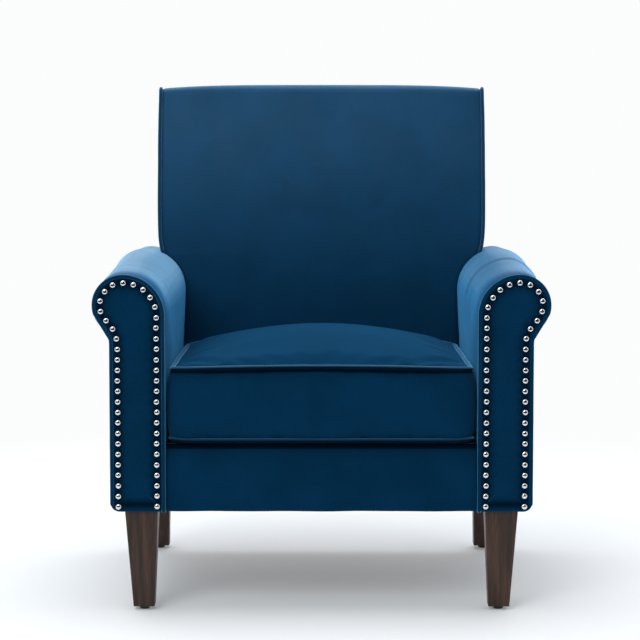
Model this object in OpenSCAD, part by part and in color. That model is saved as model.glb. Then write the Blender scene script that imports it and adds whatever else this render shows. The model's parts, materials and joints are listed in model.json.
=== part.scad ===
// Upholstered roll-arm armchair: two arm modules bolted to a sprung seat box,
// a raked tight back behind it, a loose boxed seat cushion and four screw-in legs.
// Millimetres. Front is -Y, up is +Z, the origin is on the floor under the middle of the chair.

/* [Overall] */
// Width over the two padded arm rolls
chair_w = 771; // [740:1:860]
// Depth from the nail heads on the arm fronts to the top of the outside back
chair_d = 748; // [720:1:800]
// Height of the front top edge of the back
chair_h = 870; // [840:1:960]
// Height of the underside of the body above the floor
body_z = 166; // [140:1:200]
// Rake of the back and of its rear plane, in degrees
rake = 12; // [8:0.5:14]

/* [Fabric and clearances] */
// Thickness of the backed velvet
velvet_t = 1.5; // [1:0.1:2.5]
// Gap left between neighbouring soft layers
gap = 0.3; // [0.2:0.05:0.5]
// Radius of the piping that edges the seat cushion
cord_r = 4; // [3:0.25:4.5]

/* [Arms] */
// Width of an arm's body below the scroll
arm_w = 91.5; // [85:0.5:110]
// Height of the top of the arm fronts
arm_top_z = 558; // [530:1:600]
// Radius of the outer scroll of an arm front
scroll_r = 51; // [46:1:56]
// Radius of the inner shoulder of an arm front
shoulder_r = 68.5; // [62:0.5:80]
// How far the scroll hangs out over the arm's body
scroll_out = 28; // [22:1:34]
// Radius of the fillet under the scroll
neck_r = 35; // [25:1:45]
// Radius of the outer bottom corner of an arm front
arm_corner_r = 15; // [12:1:20]
// How far the padded roll swells past the arm front
roll_puff = 10.5; // [4:0.5:12]
// Radius of the piping round the arm fronts
welt_r = 3.5; // [2.5:0.25:4]
// Thickness of the scroll board behind the arm front
board_t = 15; // [12:1:18]
// Thickness of the padding on an arm's sides
side_pad_t = 9; // [6:1:12]
// Thickness of the padding on an arm's roll
roll_pad_t = 25; // [18:1:28]

/* [Nails] */
// Nails round each arm front
nail_count = 47; // [30:1:55]
// Diameter of a nail head
nail_d = 9.5; // [8:0.5:11]
// Height of a nail head's dome
nail_dome = 2.6; // [2:0.1:3.2]
// Inset of the nail row from the edge of the arm front
nail_inset = 14; // [12.5:0.5:18]

/* [Seat] */
// Height of the front edge of the seat deck
deck_z = 280; // [260:1:300]
// Fall of the deck and the cushion to the rear, in degrees
seat_fall = 1.4; // [0.5:0.1:3]
// How far the apron stands behind the arm fronts
apron_back = 11; // [9:0.5:14]
// Thickness of the apron's padding
apron_pad_t = 13; // [8:1:16]
// Thickness of the deck's pad over the springs
deck_pad_t = 12; // [8:1:16]
// Thickness of the seat box's wooden rails
rail_t = 25; // [20:1:30]
// Number of sinuous springs
spring_count = 5; // [3:1:6]
// Thickness of the spring wire
spring_wire_d = 3.8; // [3:0.1:4.5]

/* [Cushion] */
// Height of the cushion from its bottom to its top piping, between the piping's centres
boxing_h = 117; // [90:1:125]
// Gap between an arm and the side of the cushion's top piping
cushion_side_gap = 6; // [4:0.5:12]
// How far the cushion's front stands behind the arm fronts
cushion_back = 5; // [3:0.5:10]
// Outward bulge of the cushion's sides at half height
side_bulge = 5; // [2:0.5:6]
// Radius of the cushion's corners seen from above
cushion_corner_r = 20; // [12:1:35]
// Height of the crown over the piping in the middle of the cushion
crown_mid = 42; // [20:1:50]
// Height of the crown over the piping at the middle of the front edge
crown_front = 3; // [0:1:8]
// Height of the crown over the piping at the middle of the rear edge
crown_rear = 33; // [15:1:40]
// Gap between the back and the cushion's rear seam at the bottom
rear_gap_low = 9.4; // [8:0.2:14]
// Gap between the back and the cushion's rear seam at the top
rear_gap_high = 17.2; // [14:0.2:24]
// Length of the zip in the rear boxing
zip_len = 430; // [300:10:440]

/* [Back] */
// How far the back's wings reach over the arms from the arms' inner faces
wing_over = 43.5; // [40:0.5:60]
// Thickness of the back, measured level
back_t = 119; // [105:1:130]
// Swell of the back's front face in its middle
back_crown = 10; // [4:1:16]
// How far the top corners of the back drop below its middle
corner_drop = 7; // [2:1:12]
// Radius of the piping on the back's front side edges
back_cord_r = 3.5; // [2.5:0.25:4]

/* [Legs] */
// Width of a leg at its top
leg_top_w = 54; // [46:1:58]
// Width of a leg at its foot
leg_foot_w = 34.7; // [28:0.1:40]
// How far the front legs stand behind the arm fronts
leg_back = 12; // [8:1:20]
// How far the rear legs' feet stand behind their tops
rear_leg_rake = 37; // [20:1:45]
// Height of the glides under the legs
glide_h = 6.3; // [4:0.1:8]
// Diameter of a glide
glide_d = 17; // [14:1:24]
// Diameter of the leg's hanger bolt
leg_bolt_d = 8; // [6:1:8]

/* [Hidden] */
$fn = 48;
velvet = "#0e3f6b";
velvet_dark = "#0a3050";
walnut = "#3b2a22";
pine = "#c9a878";
ply = "#b98f5e";
foam = "#e8dcb4";
wadding = "#e9e9e4";
cloth_black = "#202022";
steel = "#9aa0a6";
chrome = "#c8ccd0";

// Arm fronts
face_y = -chair_d / 2 + nail_dome;
front_w = chair_w - 2 * roll_puff;
scroll_x = front_w / 2 - scroll_r;
scroll_z = arm_top_z - scroll_r;
shoulder_z = arm_top_z - shoulder_r;
arm_out_x = front_w / 2 - scroll_out;
arm_in_x = arm_out_x - arm_w;
neck_x = arm_out_x + neck_r;
neck_z = scroll_z - sqrt(pow(scroll_r + neck_r, 2) - pow(neck_x - scroll_x, 2));
neck_angle = atan2(neck_z - scroll_z, neck_x - scroll_x);
welt_y = face_y + welt_r;
board_y = welt_y + welt_r + gap;
padding_y = board_y + board_t + gap;
front_pad_y = face_y + 0.5 + velvet_t + gap;
puff_from_z = 380;
puff_full_z = 480;

// Rear plane and back
back_top_rear_z = chair_h - back_t * tan(rake);
back_hw = arm_in_x + wing_over;
back_foot_z = deck_z - 20;
layer_t = velvet_t + gap;
post_t = 40;
web_t = 1.5;
frame_front_t = layer_t + post_t;
foam_rear_t = frame_front_t + web_t + 2 * gap;

// Seat box
rail_back_gap = 5.7;
box_hw = arm_in_x - gap;
apron_y = face_y + apron_back;
front_rail_y = apron_y + velvet_t + apron_pad_t + 2 * gap;
rail_z = body_z + 6;
cushion_y = face_y + cushion_back;
clip_t = 1;
clip_bore_r = spring_wire_d / 2 + 0.1;
spring_z = -layer_t - deck_pad_t - gap - clip_bore_r - clip_t;
rail_top = spring_z - clip_bore_r - clip_t - 0.02;
rail_end_y = inside_y(back_foot_z) - rail_back_gap;
rear_rail_y = rail_end_y - rail_t;
deck_end_y = rail_end_y - 3;
block_leg = 55;

// Cushion, in the deck's own frame: y from the cushion's front, z from the deck's top
cushion_rest = gap;
pipe_low_z = cord_r + cushion_rest;
pipe_high_z = pipe_low_z + boxing_h;
cushion_top_hw = arm_in_x - cushion_side_gap;
cushion_len_low = inside_y(deck_z) - rear_gap_low - cushion_y;
cushion_len_high = inside_y(deck_z + boxing_h) - rear_gap_high - cushion_y;
cushion_lean = atan2(cushion_len_high - cushion_len_low, boxing_h);
sheet_t = 1.2;

// ---------- geometry helpers ----------

function clamp01(v) = min(1, max(0, v));
function unit(v) = v / norm(v);
function flatten(l) = [for (a = l) for (b = a) b];
function middle(l) = [for (k = [0 : 2]) let (v = [for (p = l) p[k]]) v * [for (p = l) 1] / len(l)];

// A solid skinned over rings of equal length, with flat ends, or closed into a loop.
// Rings from number "turn" on run back along a wall's inside, and take the other diagonals,
// so that nested skins stay parallel.
module loft(rings, loop = false, turn = 1000)
{
    n = len(rings[0]);
    m = len(rings);
    last = loop ? m - 1 : m - 2;
    sides = [for (j = [0 : last], i = [0 : n - 1])
        let (a = j * n + i, b = j * n + (i + 1) % n,
            c = ((j + 1) % m) * n + (i + 1) % n, d = ((j + 1) % m) * n + i)
        each j < turn ? [[a, b, c], [a, c, d]] : [[a, b, d], [b, c, d]]];
    hubs = loop ? [] : [middle(rings[0]), middle(rings[m - 1])];
    ends = loop ? [] : [for (i = [0 : n - 1])
        let (k = (i + 1) % n, far = (m - 1) * n)
        each [[m * n, k, i], [m * n + 1, far + i, far + k]]];
    polyhedron(concat(flatten(rings), hubs), concat(sides, ends), 10);
}

// A solid between two surfaces given as equal grids; the first one is the outer surface
module between(outer, inner)
{
    rows = len(outer);
    cols = len(outer[0]);
    size = rows * cols;
    faces = [for (r = [0 : rows - 2], c = [0 : cols - 2])
        let (a = r * cols + c, b = a + cols, k = a + size, l = b + size)
        each [[a, b, b + 1], [a, b + 1, a + 1], [k, k + 1, l + 1], [k, l + 1, l]]];
    ends = [for (c = [0 : cols - 2])
        let (a = c, b = (rows - 1) * cols + c)
        each [[a, a + 1, a + 1 + size], [a, a + 1 + size, a + size],
            [b + 1, b, b + size], [b + 1, b + size, b + 1 + size]]];
    edges = [for (r = [0 : rows - 2])
        let (a = r * cols, b = r * cols + cols - 1)
        each [[a + cols, a, a + size], [a + cols, a + size, a + cols + size],
            [b, b + cols, b + cols + size], [b, b + cols + size, b + size]]];
    polyhedron(concat(flatten(outer), flatten(inner)), concat(faces, ends, edges), 10);
}

// A round cord along a path; each point has a normal that lies across the path
module cord(path, normals, r, sides = 8, loop = false)
{
    n = len(path);
    rings = [for (i = [0 : n - 1])
        let (before = path[loop ? (i + n - 1) % n : max(i - 1, 0)],
            after = path[loop ? (i + 1) % n : min(i + 1, n - 1)],
            t = unit(after - before),
            side = unit(normals[i] - t * (normals[i] * t)),
            up = cross(side, t))
        [for (k = [0 : sides - 1])
            path[i] + r * (cos(k * 360 / sides) * side + sin(k * 360 / sides) * up)]];
    loft(rings, loop);
}

function run_lengths(path, i = 1, done = [0]) =
    i >= len(path) ? done
    : run_lengths(path, i + 1, concat(done, [done[i - 1] + norm(path[i] - path[i - 1])]));

function point_along(path, lengths, s, i = 1) =
    i >= len(path) - 1 || s <= lengths[i]
    ? let (f = (s - lengths[i - 1]) / (lengths[i] - lengths[i - 1]))
        path[i - 1] + (path[i] - path[i - 1]) * f
    : point_along(path, lengths, s, i + 1);

// Draws the child for the right-hand side, or mirrored for the left-hand side
module handed(side)
{
    if (side < 0) mirror([1, 0, 0]) children();
    else children();
}

// A plate that lies across Y between y0 and y1
module plate(y0, y1)
{
    translate([0, y1, 0]) rotate([90, 0, 0]) linear_extrude(y1 - y0) children();
}

// A bar along X between x0 and x1; the outline is given as y and z
module bar(x0, x1, outline)
{
    translate([x0, 0, 0]) rotate([90, 0, 90]) linear_extrude(x1 - x0) polygon(outline);
}

module block(low, high)
{
    translate(low) cube(high - low);
}

// ---------- the arm's outline ----------

// One row for each point of the right-hand arm front: x, z and the outward normal,
// running from the inner bottom corner along the bottom, up the outside and over the roll
function arc_rows(cx, cz, r, a0, a1, n, sign = 1) = [for (i = [0 : n])
    let (a = a0 + (a1 - a0) * i / n) [cx + r * cos(a), cz + r * sin(a), sign * cos(a), sign * sin(a)]];

corner_rows = arc_rows(arm_out_x - arm_corner_r, body_z + arm_corner_r, arm_corner_r, -90, 0, 3);
neck_rows = arc_rows(neck_x, neck_z, neck_r, 180, 180 + neck_angle, 4, -1);
scroll_rows = arc_rows(scroll_x, scroll_z, scroll_r, neck_angle, 90, 12);
shoulder_rows = arc_rows(scroll_x, shoulder_z, shoulder_r, 90, 180, 8);
inner_rows = [for (z = [puff_full_z - 40, puff_from_z + 20, puff_from_z, deck_z])
    [arm_in_x, z, -1, 0]];
outer_rows = [[arm_out_x, puff_from_z, 1, 0]];

arm_rows = concat([[arm_in_x, body_z, -1, -1]], corner_rows, outer_rows, neck_rows,
    [for (i = [1 : len(scroll_rows) - 1]) scroll_rows[i]],
    [for (i = [1 : len(shoulder_rows) - 1]) shoulder_rows[i]], inner_rows);

function arm_outline(e) = [for (q = arm_rows) [q[0] - e * q[2], q[1] - e * q[3]]];

// How much of the roll's swell a point takes: none low down, less on the inner face
function swell_share(q) =
    clamp01((q[1] - puff_from_z) / (puff_full_z - puff_from_z)) * (q[2] < 0 ? 1 + 0.4 * q[2] : 1);

// Share of the swell along the arm, from t = 0 at the arm front to 1 at the rear plane. It is
// fullest at swell_peak, and levels off where the back stands on the arm.
swell_peak = 0.6;
swell_level = 0.78;
rear_swell = 0.5;
function swell_along(t) = t < swell_peak ? pow(sin(90 * t / swell_peak), 3)
    : 1 - (1 - rear_swell) * clamp01((t - swell_peak) / (swell_level - swell_peak));
arm_stations = [0, 0.18, 0.34, 0.48, swell_peak, swell_level, 1];

function rear_y(z) = chair_d / 2 - (back_top_rear_z - z) * tan(rake);

// A ring round the arm at share t of the way to the rear plane; inset(q) sets its depth
function arm_ring(t, y0, insets) = [for (i = [0 : len(arm_rows) - 1])
    let (q = arm_rows[i], e = insets[i] - roll_puff * swell_along(t) * swell_share(q),
        z = q[1] - e * q[3], y1 = rear_y(z) - layer_t - gap)
    [q[0] - e * q[2], y0 + t * (y1 - y0), z]];

function even_insets(e) = [for (q = arm_rows) e];
padding_insets = [for (q = arm_rows)
    let (roll = clamp01((q[1] - neck_z) / (scroll_z - neck_z)),
        low = q[3] < -0.5 && q[1] < neck_z ? 5 : side_pad_t)
    low + roll * (roll_pad_t - low)];

// A sleeve along the arm from share t0 of the way back, between two depths under the outline
module arm_sleeve(t0, outside, inside)
{
    stations = concat([t0], [for (t = arm_stations) if (t > t0) t]);
    rings = concat([for (t = stations) arm_ring(t, board_y, outside)],
        [for (k = [len(stations) - 1 : -1 : 0]) arm_ring(stations[k], board_y, inside)]);
    loft(rings, true, len(stations));
}

// ---------- arms ----------

module arm_cover(side)
{
    color(velvet) handed(side)
        arm_sleeve(0, even_insets(0), even_insets(velvet_t));
}

module arm_padding(side)
{
    color(foam) handed(side)
        arm_sleeve((padding_y - board_y) / (rear_y(body_z) - layer_t - gap - board_y),
            even_insets(layer_t), padding_insets);
}

module arm_board(side)
{
    color(ply) handed(side)
        plate(board_y, board_y + board_t) polygon(arm_outline(layer_t));
}

module arm_front_pad(side)
{
    color(wadding) handed(side)
        plate(front_pad_y, board_y - gap) polygon(arm_outline(2 * welt_r + 2 * gap));
}

module arm_front(side)
{
    color(velvet) handed(side)
        plate(face_y + 0.5, face_y + 0.5 + velvet_t) polygon(arm_outline(2 * welt_r + gap));
}

module arm_piping(side)
{
    rows = [for (i = [3 : len(arm_rows) - 1]) arm_rows[i]];
    path = concat([for (q = rows) [q[0] - welt_r * q[2], welt_y, q[1] - welt_r * q[3]]],
        [[arm_in_x + welt_r, welt_y, body_z + 1]]);
    normals = concat([for (q = rows) [q[2], 0, q[3]]], [[-1, 0, 0]]);
    color(velvet_dark) handed(side) cord(path, normals, welt_r);
}

// An upholstery nail: a domed head on the fabric and a shank driven into the board
nail_len = 14;
nail_shank_r = 0.8;
module nail()
{
    dome_r = (pow(nail_d / 2, 2) + pow(nail_dome, 2)) / (2 * nail_dome);
    rotate([90, 0, 0])
    {
        intersection()
        {
            translate([0, 0, nail_dome - dome_r]) sphere(r = dome_r);
            cylinder(r = nail_d, h = nail_d);
        }
        translate([0, 0, -nail_len]) cylinder(r = nail_shank_r, h = nail_len + 0.5);
    }
}

nail_rows = [for (i = [4 : len(arm_rows) - 1]) arm_rows[i]];
nail_path = concat([[arm_out_x - nail_inset, body_z + 10]],
    [for (q = nail_rows) [q[0] - nail_inset * q[2], q[1] - nail_inset * q[3]]],
    [[arm_in_x + nail_inset, body_z + 10]]);
nail_runs = run_lengths(nail_path);

module arm_nails(side)
{
    total = nail_runs[len(nail_runs) - 1];
    color(chrome) handed(side) for (i = [0 : nail_count - 1])
    {
        p = point_along(nail_path, nail_runs, total * i / (nail_count - 1));
        translate([p[0], face_y, p[1]]) nail();
    }
}

// The arm's wooden skeleton: base rail, raked rear post and two side boards
base_rail_in = arm_in_x + side_pad_t + 4;
base_rail_out = arm_out_x - side_pad_t - 4;
base_rail_z = body_z + 6;
base_rail_h = 44;
arm_frame_y = padding_y;
arm_top_rail_drop = 11;
arm_top_rail_z = scroll_z - arm_top_rail_drop;
arm_top_rail_t = 18;
arm_top_rail_reach = 19;
arm_post_t = 40;
arm_post_reach = 34;
arm_post_x = scroll_x - arm_post_reach;
function arm_rear_y(z) = rear_y(z) - 2 * layer_t - 2 * gap;

module arm_frame(side)
{
    top = base_rail_z + base_rail_h;
    color(pine) handed(side) difference()
    {
        union()
        {
            bar(base_rail_in, base_rail_out, [[arm_frame_y, base_rail_z],
                [arm_rear_y(base_rail_z), base_rail_z], [arm_rear_y(top), top], [arm_frame_y, top]]);
            bar(arm_post_x, base_rail_out, [[arm_rear_y(top) - arm_post_t, top],
                [arm_rear_y(top), top], [arm_rear_y(arm_top_rail_z), arm_top_rail_z],
                [arm_rear_y(arm_top_rail_z) - arm_post_t, arm_top_rail_z]]);
        }
        for (at = leg_bolts) translate([at[0], at[1], base_rail_z - 1])
            cylinder(d = tee_barrel_d, h = base_rail_h + 2);
        for (y = box_bolt_ys) translate([arm_in_x, y, box_bolt_z]) rotate([0, 90, 0])
            cylinder(d = box_bolt_d + 0.6, h = arm_w);
    }
}

module arm_top_rail(side)
{
    x0 = arm_post_x;
    x1 = scroll_x + arm_top_rail_reach;
    top = arm_top_rail_z + arm_top_rail_t;
    color(pine) handed(side) bar(x0, x1, [[arm_frame_y, arm_top_rail_z],
        [arm_rear_y(arm_top_rail_z), arm_top_rail_z], [arm_rear_y(top), top], [arm_frame_y, top]]);
}

// The fabric cap that closes the arm's rear end beside the outside back
module arm_rear_cap(side)
{
    outline = arm_outline(-0.3 * roll_puff);
    x0 = back_hw + gap;
    n = len(outline);
    ring = [for (p = outline) if (p[0] > x0 + 1) p];
    top_z = max([for (p = outline) if (p[0] > x0 - 12) p[1]]);
    closed = concat([[x0, body_z]], ring, [[x0, top_z - 1.5]]);
    color(velvet) handed(side) difference()
    {
        plate(rear_y(body_z) - 60, rear_y(chair_h)) polygon(closed);
        bar(0, chair_w, [[-chair_d, body_z - 50], [rear_y(body_z - 50) - layer_t, body_z - 50],
            [rear_y(chair_h) - layer_t, chair_h], [-chair_d, chair_h]]);
        bar(0, chair_w, [[chair_d, body_z - 50], [rear_y(body_z - 50), body_z - 50],
            [rear_y(chair_h), chair_h], [chair_d, chair_h]]);
    }
}

// ---------- legs ----------

front_leg_x = (base_rail_in + base_rail_out) / 2 - 4.9;
front_leg_y = face_y + leg_back + leg_top_w / 2;
rear_leg_x = front_leg_x + 12.1;
rear_leg_y = rear_y(body_z) - leg_top_w / 2 - 19;
leg_bolts = [[front_leg_x, front_leg_y], [rear_leg_x, rear_leg_y]];
leg_top_z = body_z - gap;
bolt_in_leg = 45;
tee_barrel_d = leg_bolt_d + 2.4;
tee_barrel_h = 12;
tee_flange_d = 22;
tee_flange_t = 1.6;
glide_pin_r = 1.5;
glide_pin_h = 16;

function square_ring(cx, cy, w, z, c = 1.5) = let (h = w / 2, k = h - c)
    [for (p = [[h, -k], [h, k], [k, h], [-k, h], [-h, k], [-h, -k], [-k, -h], [k, -h]])
        [cx + p[0], cy + p[1], z]];

module leg(x, y, foot_dx, foot_dy)
{
    difference()
    {
        loft([square_ring(x, y, leg_top_w, leg_top_z),
            square_ring(x + foot_dx, y + foot_dy, leg_foot_w, glide_h)]);
        translate([x, y, leg_top_z - bolt_in_leg - 1]) cylinder(d = leg_bolt_d, h = bolt_in_leg + 2);
        translate([x + foot_dx, y + foot_dy, glide_h - 1]) 
            cylinder(r = glide_pin_r + 0.1, h = glide_pin_h + 3);
    }
}

front_foot_dx = -3;
front_foot_dy = -3;
rear_foot_dx = -5;

module leg_front(side)
{
    color(walnut) handed(side) leg(front_leg_x, front_leg_y, front_foot_dx, front_foot_dy);
}

module leg_rear(side)
{
    color(walnut) handed(side) leg(rear_leg_x, rear_leg_y, rear_foot_dx, rear_leg_rake);
}

feet = [[front_leg_x + front_foot_dx, front_leg_y + front_foot_dy],
    [rear_leg_x + rear_foot_dx, rear_leg_y + rear_leg_rake]];

module foot_glides()
{
    r = glide_d / 2;
    color(cloth_black) for (side = [-1, 1], p = feet) translate([side * p[0], p[1], 0])
        rotate_extrude() polygon([[0, 0], [r - 2, 0], [r, 1.5], [r, glide_h - 0.1],
            [glide_pin_r, glide_h - 0.1], [glide_pin_r, glide_h + glide_pin_h - 2],
            [0, glide_h + glide_pin_h]]);
}

module leg_hanger_bolts()
{
    top = base_rail_z + base_rail_h - 6;
    color(steel) for (side = [-1, 1], p = leg_bolts)
        translate([side * p[0], p[1], leg_top_z - bolt_in_leg])
            cylinder(d = leg_bolt_d - 0.1, h = top - leg_top_z + bolt_in_leg);
}

module leg_tee_nuts()
{
    color(steel) for (side = [-1, 1], p = leg_bolts)
        translate([side * p[0], p[1], base_rail_z + base_rail_h]) difference()
        {
            union()
            {
                cylinder(d = tee_flange_d, h = tee_flange_t);
                translate([0, 0, -tee_barrel_h]) cylinder(d = tee_barrel_d - 0.1, h = tee_barrel_h + 1);
            }
            translate([0, 0, -tee_barrel_h - 1]) cylinder(d = leg_bolt_d, h = tee_barrel_h + 4);
        }
}

// ---------- seat box ----------

// The frame of the deck: its front top edge is the origin, and it falls to the rear
module on_deck()
{
    translate([0, cushion_y, deck_z]) rotate([-seat_fall, 0, 0]) children();
}
function deck_top(y) = deck_z - (y - cushion_y) * tan(seat_fall);
function rail_top_z(y) = deck_top(y) + rail_top / cos(seat_fall);

box_bolt_d = 8;
box_bolt_z = base_rail_z + base_rail_h / 2;
box_bolt_ys = [front_rail_y + rail_t + block_leg + 35, rear_rail_y - block_leg - 20];
bolt_head_d = 15;
bolt_head_h = 5;
block_h = 50;
block_z = rail_z + 8;

module seat_front_rail()
{
    y1 = front_rail_y + rail_t;
    color(pine) bar(rail_t - box_hw, box_hw - rail_t, [[front_rail_y, rail_z], [y1, rail_z],
        [y1, rail_top_z(y1)], [front_rail_y, rail_top_z(front_rail_y)]]);
}

module seat_rear_rail()
{
    color(pine) bar(rail_t - box_hw, box_hw - rail_t, [[rear_rail_y, rail_z],
        [rail_end_y, rail_z], [rail_end_y, rail_top_z(rail_end_y)],
        [rear_rail_y, rail_top_z(rear_rail_y)]]);
}

module seat_side_rail(side)
{
    color(pine) handed(side) difference()
    {
        bar(box_hw - rail_t + 0.05, box_hw, [[front_rail_y, rail_z], [rail_end_y, rail_z],
            [rail_end_y, rail_top_z(rail_end_y)], [front_rail_y, rail_top_z(front_rail_y)]]);
        for (y = box_bolt_ys) translate([box_hw - rail_t - 1, y, box_bolt_z]) rotate([0, 90, 0])
            cylinder(d = box_bolt_d + 0.6, h = rail_t + 2);
    }
}

module seat_corner_blocks()
{
    leg = block_leg;
    x = box_hw - rail_t - 0.05;
    y0 = front_rail_y + rail_t + 0.05;
    y1 = rear_rail_y - 0.05;
    color(pine) for (side = [-1, 1]) handed(side)
    {
        translate([0, 0, block_z]) linear_extrude(block_h)
            polygon([[x, y0], [x, y0 + leg], [x - leg, y0]]);
        translate([0, 0, block_z]) linear_extrude(block_h)
            polygon([[x, y1], [x, y1 - leg], [x - leg, y1]]);
    }
}

module assembly_bolts()
{
    head_x = box_hw - rail_t - 0.2;
    tip_x = base_rail_out + 2;
    color(steel) for (side = [-1, 1], y = box_bolt_ys) handed(side)
        translate([head_x, y, box_bolt_z]) rotate([0, 90, 0]) union()
        {
            cylinder(d = box_bolt_d, h = tip_x - head_x);
            translate([0, 0, -bolt_head_h]) cylinder(d = bolt_head_d, h = bolt_head_h);
        }
}

// Sinuous wire springs run from the front rail to the rear rail under the deck pad
spring_pitch = (2 * box_hw - 2 * rail_t - 60) / max(1, spring_count - 1);
spring_xs = [for (i = [0 : spring_count - 1]) (i - (spring_count - 1) / 2) * spring_pitch];
spring_y0 = front_rail_y + rail_t / 2 - cushion_y;
spring_y1 = rear_rail_y + rail_t / 2 - cushion_y;
spring_loops = 14;
spring_half_w = 24;
spring_turn_r = (spring_y1 - spring_y0) / spring_loops / 2;

// Each loop is a half turn at the end of a straight crosswise bar
function spring_path(x) = concat([[x, spring_y0, spring_z]],
    [for (k = [0 : spring_loops - 1])
        let (side = k % 2 == 0 ? 1 : -1, cy = spring_y0 + spring_turn_r * (2 * k + 1))
        each [for (a = [-90, -30, 30, 90])
            [x + side * (spring_half_w - spring_turn_r + spring_turn_r * cos(a)),
                cy + spring_turn_r * sin(a), spring_z]]],
    [[x, spring_y1, spring_z]]);

module sinuous_springs()
{
    color(steel) on_deck() for (x = spring_xs)
    {
        path = spring_path(x);
        cord(path, [for (p = path) [0, 0, 1]], spring_wire_d / 2, 6);
    }
}

// A folded steel clip holds each end of a spring on top of its rail
module spring_clips()
{
    w = spring_half_w - spring_turn_r - 3.5;
    outer_r = clip_bore_r + clip_t;
    color(steel) on_deck() for (x = spring_xs, end = [0, 1])
        translate([end == 0 ? x + 1 : x - 1 - w, end == 0 ? spring_y0 : spring_y1, spring_z])
            rotate([90, 0, 90]) linear_extrude(w) difference()
            {
                union()
                {
                    circle(r = outer_r);
                    translate([-9, -outer_r]) square([18, clip_t]);
                }
                circle(r = clip_bore_r);
            }
}

module deck_pad()
{
    color(wadding) on_deck() block([-box_hw + 2, front_rail_y + 1 - cushion_y, -layer_t - deck_pad_t],
        [box_hw - 2, deck_end_y - cushion_y, -layer_t]);
}

module deck_cover()
{
    color(cloth_black) on_deck() block([-box_hw + 1, apron_y + velvet_t + gap - cushion_y, -velvet_t],
        [box_hw - 1, deck_end_y - cushion_y, 0]);
}

module apron_pad()
{
    y0 = apron_y + velvet_t + gap;
    color(foam) bar(1 - box_hw, box_hw - 1, [[y0, rail_z], [y0 + apron_pad_t, rail_z],
        [y0 + apron_pad_t, deck_top(y0 + apron_pad_t) - layer_t - gap],
        [y0, deck_top(y0) - layer_t - gap]]);
}

module apron_cover()
{
    color(velvet) block([-box_hw, apron_y, body_z - 1], [box_hw, apron_y + velvet_t, deck_z - gap]);
}

module dust_cover()
{
    color(cloth_black) block([-box_hw + 2, apron_y + velvet_t + 1, rail_z - gap - 1],
        [box_hw - 2, rail_end_y, rail_z - gap]);
}

// ---------- seat cushion ----------

// Plan outline of the cushion as shares, anticlockwise from above; s shrinks it to its middle
cushion_cols = [-0.78, -0.5, -0.2, 0.2, 0.5, 0.78];
function cushion_plan(hw, y0, y1, s) =
    let (r = cushion_corner_r, cy = (y0 + y1) / 2, hy = (y1 - y0) / 2,
        quarter = [for (a = [0, 30, 60, 90]) [cos(a), sin(a)]],
        right = [for (v = cushion_cols) [hw, v * (hy - r)]],
        top = [for (v = cushion_cols) [-v * (hw - r), hy]],
        corner = function (qx, qy, turn) [for (q = quarter)
            let (c = cos(turn) * q[0] - sin(turn) * q[1], d = sin(turn) * q[0] + cos(turn) * q[1])
            [qx * (hw - r) + r * c, qy * (hy - r) + r * d]],
        all = concat(right, corner(1, 1, 0), top, corner(-1, 1, 90),
            [for (p = right) -p], corner(-1, -1, 180), [for (p = top) -p], corner(1, -1, 270)))
    [for (p = all) [s * p[0], cy + s * p[1]]];

function crown_along(t) = t < 0.5 ? crown_front + (crown_mid - crown_front) * sin(180 * t)
    : crown_mid - (crown_mid - crown_rear) * pow(2 * t - 1, 2);
function crown_at(x, y) = cos(90 * clamp01(abs(x) / cushion_top_hw))
    * crown_along(clamp01(y / cushion_len_high));

// A ring at height z; k tells how far up the boxing it is, from 0 at the bottom to 1 at the top
function boxing_ring(k, e) =
    let (bow = side_bulge * sin(180 * clamp01(k)),
        hw = cushion_top_hw - cord_r + (1 - k) * 3 + bow - e,
        y0 = cord_r - bow * 0.6 + e,
        y1 = cushion_len_low + k * (cushion_len_high - cushion_len_low) - e)
    [for (p = cushion_plan(hw, y0, y1, 1))
        [p[0], p[1], pipe_low_z + k * (boxing_h + crown_at(p[0], p[1]))]];

function panel_ring(s, high, z_off, e) =
    let (hw = cushion_top_hw - cord_r + (high ? 0 : 3) - e,
        y1 = (high ? cushion_len_high : cushion_len_low) - e)
    [for (p = cushion_plan(hw, cord_r + e, y1, s))
        [p[0], p[1], high ? pipe_high_z + crown_at(p[0], p[1]) + z_off : z_off]];

top_steps = [0.2, 0.5, 0.75, 0.92, 0.985];
seam_k = (cord_r + gap) / boxing_h;
box_steps = [1 - seam_k, 0.75, 0.5, 0.25, seam_k];
core_steps = [1 - 2 * seam_k, 0.75, 0.5, 0.25, 2 * seam_k];

module cushion_core()
{
    e = sheet_t + gap;
    in = cord_r + 2 * gap;
    rings = concat([for (s = top_steps) panel_ring(s, true, -2 * e, in)],
        [for (k = core_steps) boxing_ring(k, e)],
        [panel_ring(0.97, false, cushion_rest + e, in), panel_ring(0.4, false, cushion_rest + e, in)]);
    color(foam) on_deck() loft(rings);
}

module cushion_top()
{
    last = len(top_steps) - 1;
    rings = concat([for (s = top_steps) panel_ring(s, true, 0, 0.5)],
        [for (k = [last : -1 : 0]) panel_ring(top_steps[k], true, -sheet_t, 0.5)]);
    color(velvet) on_deck() loft(rings, false, len(top_steps));
}

module cushion_bottom()
{
    steps = [0.4, 0.97];
    rings = concat([for (s = steps) panel_ring(s, false, cushion_rest + sheet_t, 0.5)],
        [for (k = [len(steps) - 1 : -1 : 0]) panel_ring(steps[k], false, cushion_rest, 0.5)]);
    color(velvet) on_deck() loft(rings);
}

module cushion_boxing()
{
    rings = concat([for (k = box_steps) boxing_ring(k, 0)],
        [for (k = [len(box_steps) - 1 : -1 : 0]) boxing_ring(box_steps[k], sheet_t)]);
    color(velvet) on_deck() loft(rings, true, len(box_steps));
}

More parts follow.
